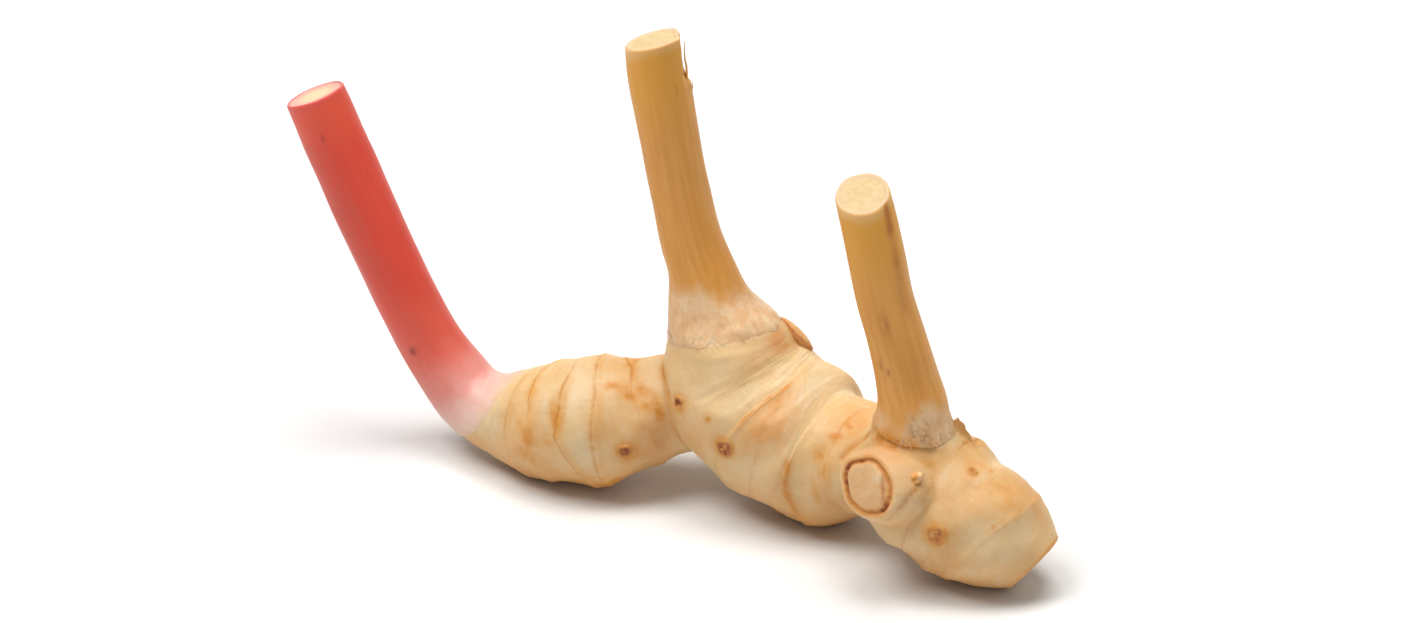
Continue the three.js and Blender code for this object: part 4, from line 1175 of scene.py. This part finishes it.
def rhizome_look():
    """Thin cream skin: peach and pale regions, golden scale lines, orange stains and brown root scars, with painted
    shade in orange and peach low on the lobes.
    """
    look = Look("rhizome_skin")
    skin, ring_at, line = look.field("skin"), look.field("ring"), look.field("line")
    clouds = look.noise(skin, 9, 3, 0.55)
    color = look.mix(look.remap(clouds, 0.3, 0.7), srgb(248, 216, 162), srgb(243, 202, 142))
    mottle = look.noise(look.stretched(skin, (1, 1, 0.7)), 4, 4, 0.6)
    peach = look.maths("MULTIPLY", look.field("peach"), look.remap(mottle, 0.25, 0.6, 0.5, 1))
    color = look.mix(look.maths("MULTIPLY", peach, 0.85), color, srgb(240, 174, 112))
    color = look.mix(look.remap(mottle, 0.55, 0.75, 0, 0.35), color, srgb(230, 176, 122))
    light = look.noise(look.stretched(skin, (0.5, 0.5, 1.3)), 4, 3, 0.55)
    pale = look.maths("MULTIPLY", look.field("pale"), look.remap(light, 0.3, 0.55, 0.6, 1))
    color = look.mix(look.maths("MULTIPLY", pale, 0.85), color, srgb(251, 228, 186))
    color = look.mix(look.remap(light, 0.55, 0.75, 0, 0.45), color, srgb(250, 226, 184))
    fibres = look.noise(look.stretched(skin, (1, 1, 0.1)), 0.7, 3, 0.6)
    color = look.mix(look.remap(fibres, 0.5, 0.75, 0, 0.16), color, srgb(216, 164, 104))
    creases = look.noise(look.stretched(skin, (0.1, 0.1, 1)), 0.6, 3, 0.6)
    color = look.mix(look.remap(creases, 0.55, 0.75, 0, 0.16), color, srgb(210, 156, 98))
    # Orange stains, together with painted shade low on the lobes and where they touch the floor.
    stain = look.field("stain")
    broken = look.noise(skin, 1.6, 4, 0.65)
    stained = look.maths("MULTIPLY", stain, look.remap(broken, 0.2, 0.65, 0.55, 1), clamp=True)
    color = look.mix(look.maths("MULTIPLY", stained, 0.95), color, srgb(234, 162, 62))
    deep = look.remap(stained, 0.55, 1.15, 0, 0.45)
    color = look.mix(deep, color, srgb(216, 132, 44))
    jitter = look.maths("MULTIPLY", look.maths("SUBTRACT", look.noise(skin, 1.2, 3, 0.6), 0.5), 0.7)
    offset = look.maths("ADD", ring_at, jitter)
    thin = look.remap(look.maths("ABSOLUTE", offset), 0.5, 0.06)
    wash = look.remap(look.maths("ABSOLUTE", look.maths("ADD", offset, 0.6)), 1.8, 0.1, 0, 0.65)
    breaks = look.remap(look.noise(skin, 3.2, 3, 0.6), 0.3, 0.58, 0.25, 1)
    inked = look.maths("MULTIPLY", look.maths("MULTIPLY", thin, line), breaks, clamp=True)
    washed = look.maths("MULTIPLY", look.maths("MULTIPLY", wash, line), breaks, clamp=True)
    color = look.mix(washed, color, srgb(238, 166, 74))
    color = look.mix(look.maths("MULTIPLY", inked, 0.9), color, srgb(206, 130, 42))
    core = look.noise(skin, 1.6, 3, 0.5)
    share = look.field("share")
    cut = look.mix(look.remap(core, 0.35, 0.7), srgb(240, 206, 158), srgb(230, 190, 140))
    cut = look.mix(look.remap(share, 0.9, 1.0, 0, 0.6), cut, srgb(206, 142, 88))
    girdle = look.remap(look.maths("ABSOLUTE", look.maths("SUBTRACT", share, 0.68)), 0.07, 0.01, 0, 0.3)
    cut = look.mix(girdle, cut, srgb(214, 164, 108))
    color = look.mix(look.field("flesh"), color, cut)
    scar = look.field("scar")
    rough_scar = look.noise(skin, 0.6, 3, 0.6)
    dark = look.maths("MULTIPLY", scar, look.remap(rough_scar, 0.3, 0.6, 0.55, 1))
    color = look.mix(look.maths("MULTIPLY", dark, 1.35, clamp=True), color, srgb(190, 112, 64))
    color = look.mix(look.remap(dark, 0.4, 0.95, 0, 0.8), color, srgb(132, 62, 34))
    specks = look.remap(look.noise(skin, 0.55, 2, 0.5), 0.7, 0.78, 0, 0.35)
    color = look.mix(specks, color, srgb(196, 134, 78))
    rough = look.remap(look.noise(skin, 2.2, 3, 0.6), 0.3, 0.7, 0.5, 0.62)
    rough = look.maths("ADD", rough, look.maths("MULTIPLY", scar, 0.3))
    grain = look.maths("ADD", look.maths("MULTIPLY", fibres, 0.6), look.maths("MULTIPLY", creases, 0.5))
    normal = look.bump(grain, 0.3, 0.00022)
    normal = look.bump(look.noise(skin, 0.5, 3, 0.6), 0.18, 0.00018, normal)
    return look.finish(color, rough, normal, **FLESH_GLOW)


def pink_look():
    """Smooth coral sheath that pales to white at its base, with a pale cut top and painted shade down its left side."""
    look = Look("pink_shoot")
    skin, grow, below = look.field("skin"), look.field("grow"), look.field("below")
    uneven = look.maths("MULTIPLY", look.maths("SUBTRACT", look.noise(skin, 5, 3, 0.5), 0.5), 8)
    rise = look.maths("ADD", grow, uneven)
    color = look.mix(look.remap(rise, 0, 5), srgb(246, 208, 168), srgb(250, 214, 198))
    color = look.mix(look.remap(rise, 3, 13), color, srgb(243, 168, 156))
    color = look.mix(look.remap(rise, 9, 26), color, srgb(244, 108, 88))
    color = look.mix(look.remap(rise, 22, 44), color, srgb(244, 84, 64))
    streaks = look.noise(look.stretched(skin, (1, 1, 0.04)), 1.1, 2, 0.5)
    color = look.mix(look.remap(streaks, 0.45, 0.75, 0, 0.1), color, srgb(246, 140, 122))
    clouds = look.noise(look.stretched(skin, (1, 1, 0.3)), 6, 3, 0.55)
    color = look.mix(look.remap(clouds, 0.5, 0.75, 0, 0.2), color, srgb(224, 74, 56))
    # Painted shade in brown down the shoot's left side.
    color = look.mix(look.maths("MULTIPLY", look.field("stain"), 0.45), color, srgb(182, 92, 68))
    color = look.mix(look.maths("MULTIPLY", look.field("line"), 0.2), color, srgb(204, 70, 60))
    color = look.mix(look.remap(below, 16, 3, 0, 0.6), color, srgb(254, 104, 74))
    color = look.mix(look.remap(below, 2, 0.2, 0, 0.4), color, srgb(224, 100, 100))
    share = look.field("share")
    cut = look.mix(look.remap(share, 0.8, 0.35), srgb(247, 190, 174), srgb(252, 226, 182))
    cut = look.mix(look.remap(share, 0.86, 0.96), cut, srgb(224, 116, 116))
    cut = look.mix(look.remap(look.noise(skin, 0.9, 3, 0.6), 0.45, 0.7, 0, 0.25), cut, srgb(240, 200, 150))
    color = look.mix(look.field("flesh"), color, cut)
    color = look.mix(look.maths("MULTIPLY", look.field("scar"), 0.8), color, srgb(140, 48, 38))
    rough = look.remap(clouds, 0.3, 0.7, 0.4, 0.5)
    normal = look.bump(streaks, 0.15, 0.0002)
    return look.finish(color, rough, normal, **{**FLESH_GLOW, "Subsurface_Radius": (1.0, 0.35, 0.25)})


def tan_look():
    """Smooth tan leaf sheaths, golden near the cut and cream where they flare, with a pale cut top."""
    look = Look("tan_stem")
    skin, below = look.field("skin"), look.field("below")
    streaks = look.noise(look.stretched(skin, (1, 1, 0.035)), 1.1, 3, 0.5)
    color = look.mix(look.remap(streaks, 0.3, 0.7), srgb(236, 166, 76), srgb(244, 178, 90))
    clouds = look.noise(look.stretched(skin, (1, 1, 0.25)), 6, 3, 0.55)
    color = look.mix(look.remap(clouds, 0.45, 0.75, 0, 0.4), color, srgb(224, 150, 60))
    golden = look.maths("ADD", below, look.maths("MULTIPLY", clouds, 8))
    color = look.mix(look.remap(golden, 30, 8, 0, 0.9), color, srgb(246, 176, 62))
    rim = look.maths("ADD", below, look.maths("MULTIPLY", clouds, 3))
    color = look.mix(look.remap(rim, 4.4, 1.4, 0, 0.65), color, srgb(250, 210, 146))
    cream = look.mix(look.remap(look.noise(skin, 3, 3, 0.6), 0.35, 0.65), srgb(250, 216, 172), srgb(242, 194, 142))
    veins = look.noise(look.stretched(skin, (1, 1, 0.1)), 0.6, 3, 0.6)
    cream = look.mix(look.remap(veins, 0.5, 0.75, 0, 0.35), cream, srgb(218, 162, 104))
    color = look.mix(look.field("pale"), color, cream)
    color = look.mix(look.maths("MULTIPLY", look.field("peach"), 0.9, clamp=True), color, srgb(238, 160, 56))
    color = look.mix(look.maths("MULTIPLY", look.field("line"), 0.2), color, srgb(184, 126, 66))
    color = look.mix(look.maths("MULTIPLY", look.field("stain"), 0.8), color, srgb(194, 108, 38))
    share = look.field("share")
    core = look.noise(skin, 1.6, 3, 0.5)
    cut = look.mix(look.remap(core, 0.35, 0.7), srgb(237, 210, 160), srgb(229, 198, 144))
    cut = look.mix(look.remap(share, 0.8, 0.95, 0, 0.7), cut, srgb(244, 204, 166))
    color = look.mix(look.field("flesh"), color, cut)
    specks = look.remap(look.noise(skin, 0.9, 2, 0.5), 0.72, 0.8, 0, 0.5)
    color = look.mix(look.maths("MULTIPLY", specks, look.field("pale")), color, srgb(200, 138, 84))
    color = look.mix(look.field("scar"), color, srgb(186, 108, 48))
    color = look.mix(look.remap(look.field("scar"), 0.4, 0.9, 0, 0.9), color, srgb(120, 58, 28))
    rough = look.remap(clouds, 0.3, 0.7, 0.44, 0.55)
    normal = look.bump(streaks, 0.2, 0.00025)
    normal = look.bump(veins, 0.12, 0.0002, normal)
    return look.finish(color, rough, normal, **FLESH_GLOW)


tan = tan_look()
for piece, material, node, slot in (
    (rhizome, rhizome_look(), "rhizome", "rhizome_skin"),
    (pink_shoot, pink_look(), "pink_shoot", "pink_shoot"),
    (middle_stem, tan, "middle_stem", "tan_stem"),
    (end_stem, tan, "end_stem", "tan_stem"),
):
    piece.data.materials.clear()
    piece.data.materials.append(material)
    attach(piece, "root")
    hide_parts(node)

# A plain white floor.
FLOOR_HALF = 4.0
floor_mesh = bpy.data.meshes.new("floor")
corners = [(-FLOOR_HALF, -FLOOR_HALF, 0), (FLOOR_HALF, -FLOOR_HALF, 0), (FLOOR_HALF, FLOOR_HALF, 0),
           (-FLOOR_HALF, FLOOR_HALF, 0)]
floor_mesh.from_pydata(corners, [], [(0, 1, 2, 3)])
floor = bpy.data.objects.new("floor", floor_mesh)
bpy.context.scene.collection.objects.link(floor)
floor_look = bpy.data.materials.new("floor")
floor_look.use_nodes = True
floor_shader = next(n for n in floor_look.node_tree.nodes if n.type == "BSDF_PRINCIPLED")
floor_shader.inputs["Base Color"].default_value = (0.77, 0.77, 0.77, 1)
floor_shader.inputs["Roughness"].default_value = 0.9
floor_shader.inputs["Specular IOR Level"].default_value = 0.1
floor_mesh.materials.append(floor_look)

# Soft studio light: a white surround and a large lamp above, behind and to the right.
world = bpy.data.worlds.new("surround")
world.use_nodes = True
background = next(n for n in world.node_tree.nodes if n.type == "BACKGROUND")
background.inputs["Color"].default_value = (1.0, 1.0, 1.0, 1)
background.inputs["Strength"].default_value = 0.25
bpy.context.scene.world = world


def lamp(name, place, size, power, color):
    data = bpy.data.lights.new(name, "AREA")
    data.shape, data.size, data.energy, data.color = "DISK", size, power, color
    made = bpy.data.objects.new(name, data)
    made.location = place
    made.rotation_euler = (LIT_POINT - Vector(place)).to_track_quat("-Z", "Y").to_euler()
    bpy.context.scene.collection.objects.link(made)


LIT_POINT = Vector((0.0, 0.0, 0.03))
lamp("key", (0.08, 0.2, 1.45), 0.8, 14.6, (1.0, 0.985, 0.965))
lamp("left", (-0.45, -0.4, 1.34), 0.8, 14.2, (1.0, 0.985, 0.965))
lamp("back", (-0.25, 1.4, 0.45), 0.8, 4.0, (1.0, 1.0, 1.0))
lamp("right", (1.3, 0.1, 0.9), 2.0, 1.8, (1.0, 0.985, 0.965))

# The camera, at the photograph's viewing angle.
CAMERA_TARGET = Vector((0.0092, -0.0002, 0.0479))
CAMERA_DISTANCE = 0.87654
CAMERA_AZIMUTH, CAMERA_ELEVATION = math.radians(27), math.radians(28)
back = Vector((
    math.sin(CAMERA_AZIMUTH) * math.cos(CAMERA_ELEVATION),
    -math.cos(CAMERA_AZIMUTH) * math.cos(CAMERA_ELEVATION),
    math.sin(CAMERA_ELEVATION),
))
camera_data = bpy.data.cameras.new("camera")
camera_data.lens, camera_data.sensor_width = 100, 36
camera = bpy.data.objects.new("camera", camera_data)
camera.location = CAMERA_TARGET + back * CAMERA_DISTANCE
camera.rotation_euler = (-back).to_track_quat("-Z", "Y").to_euler()
bpy.context.scene.collection.objects.link(camera)
bpy.context.scene.camera = camera
bpy.context.scene.view_settings.view_transform = "Standard"
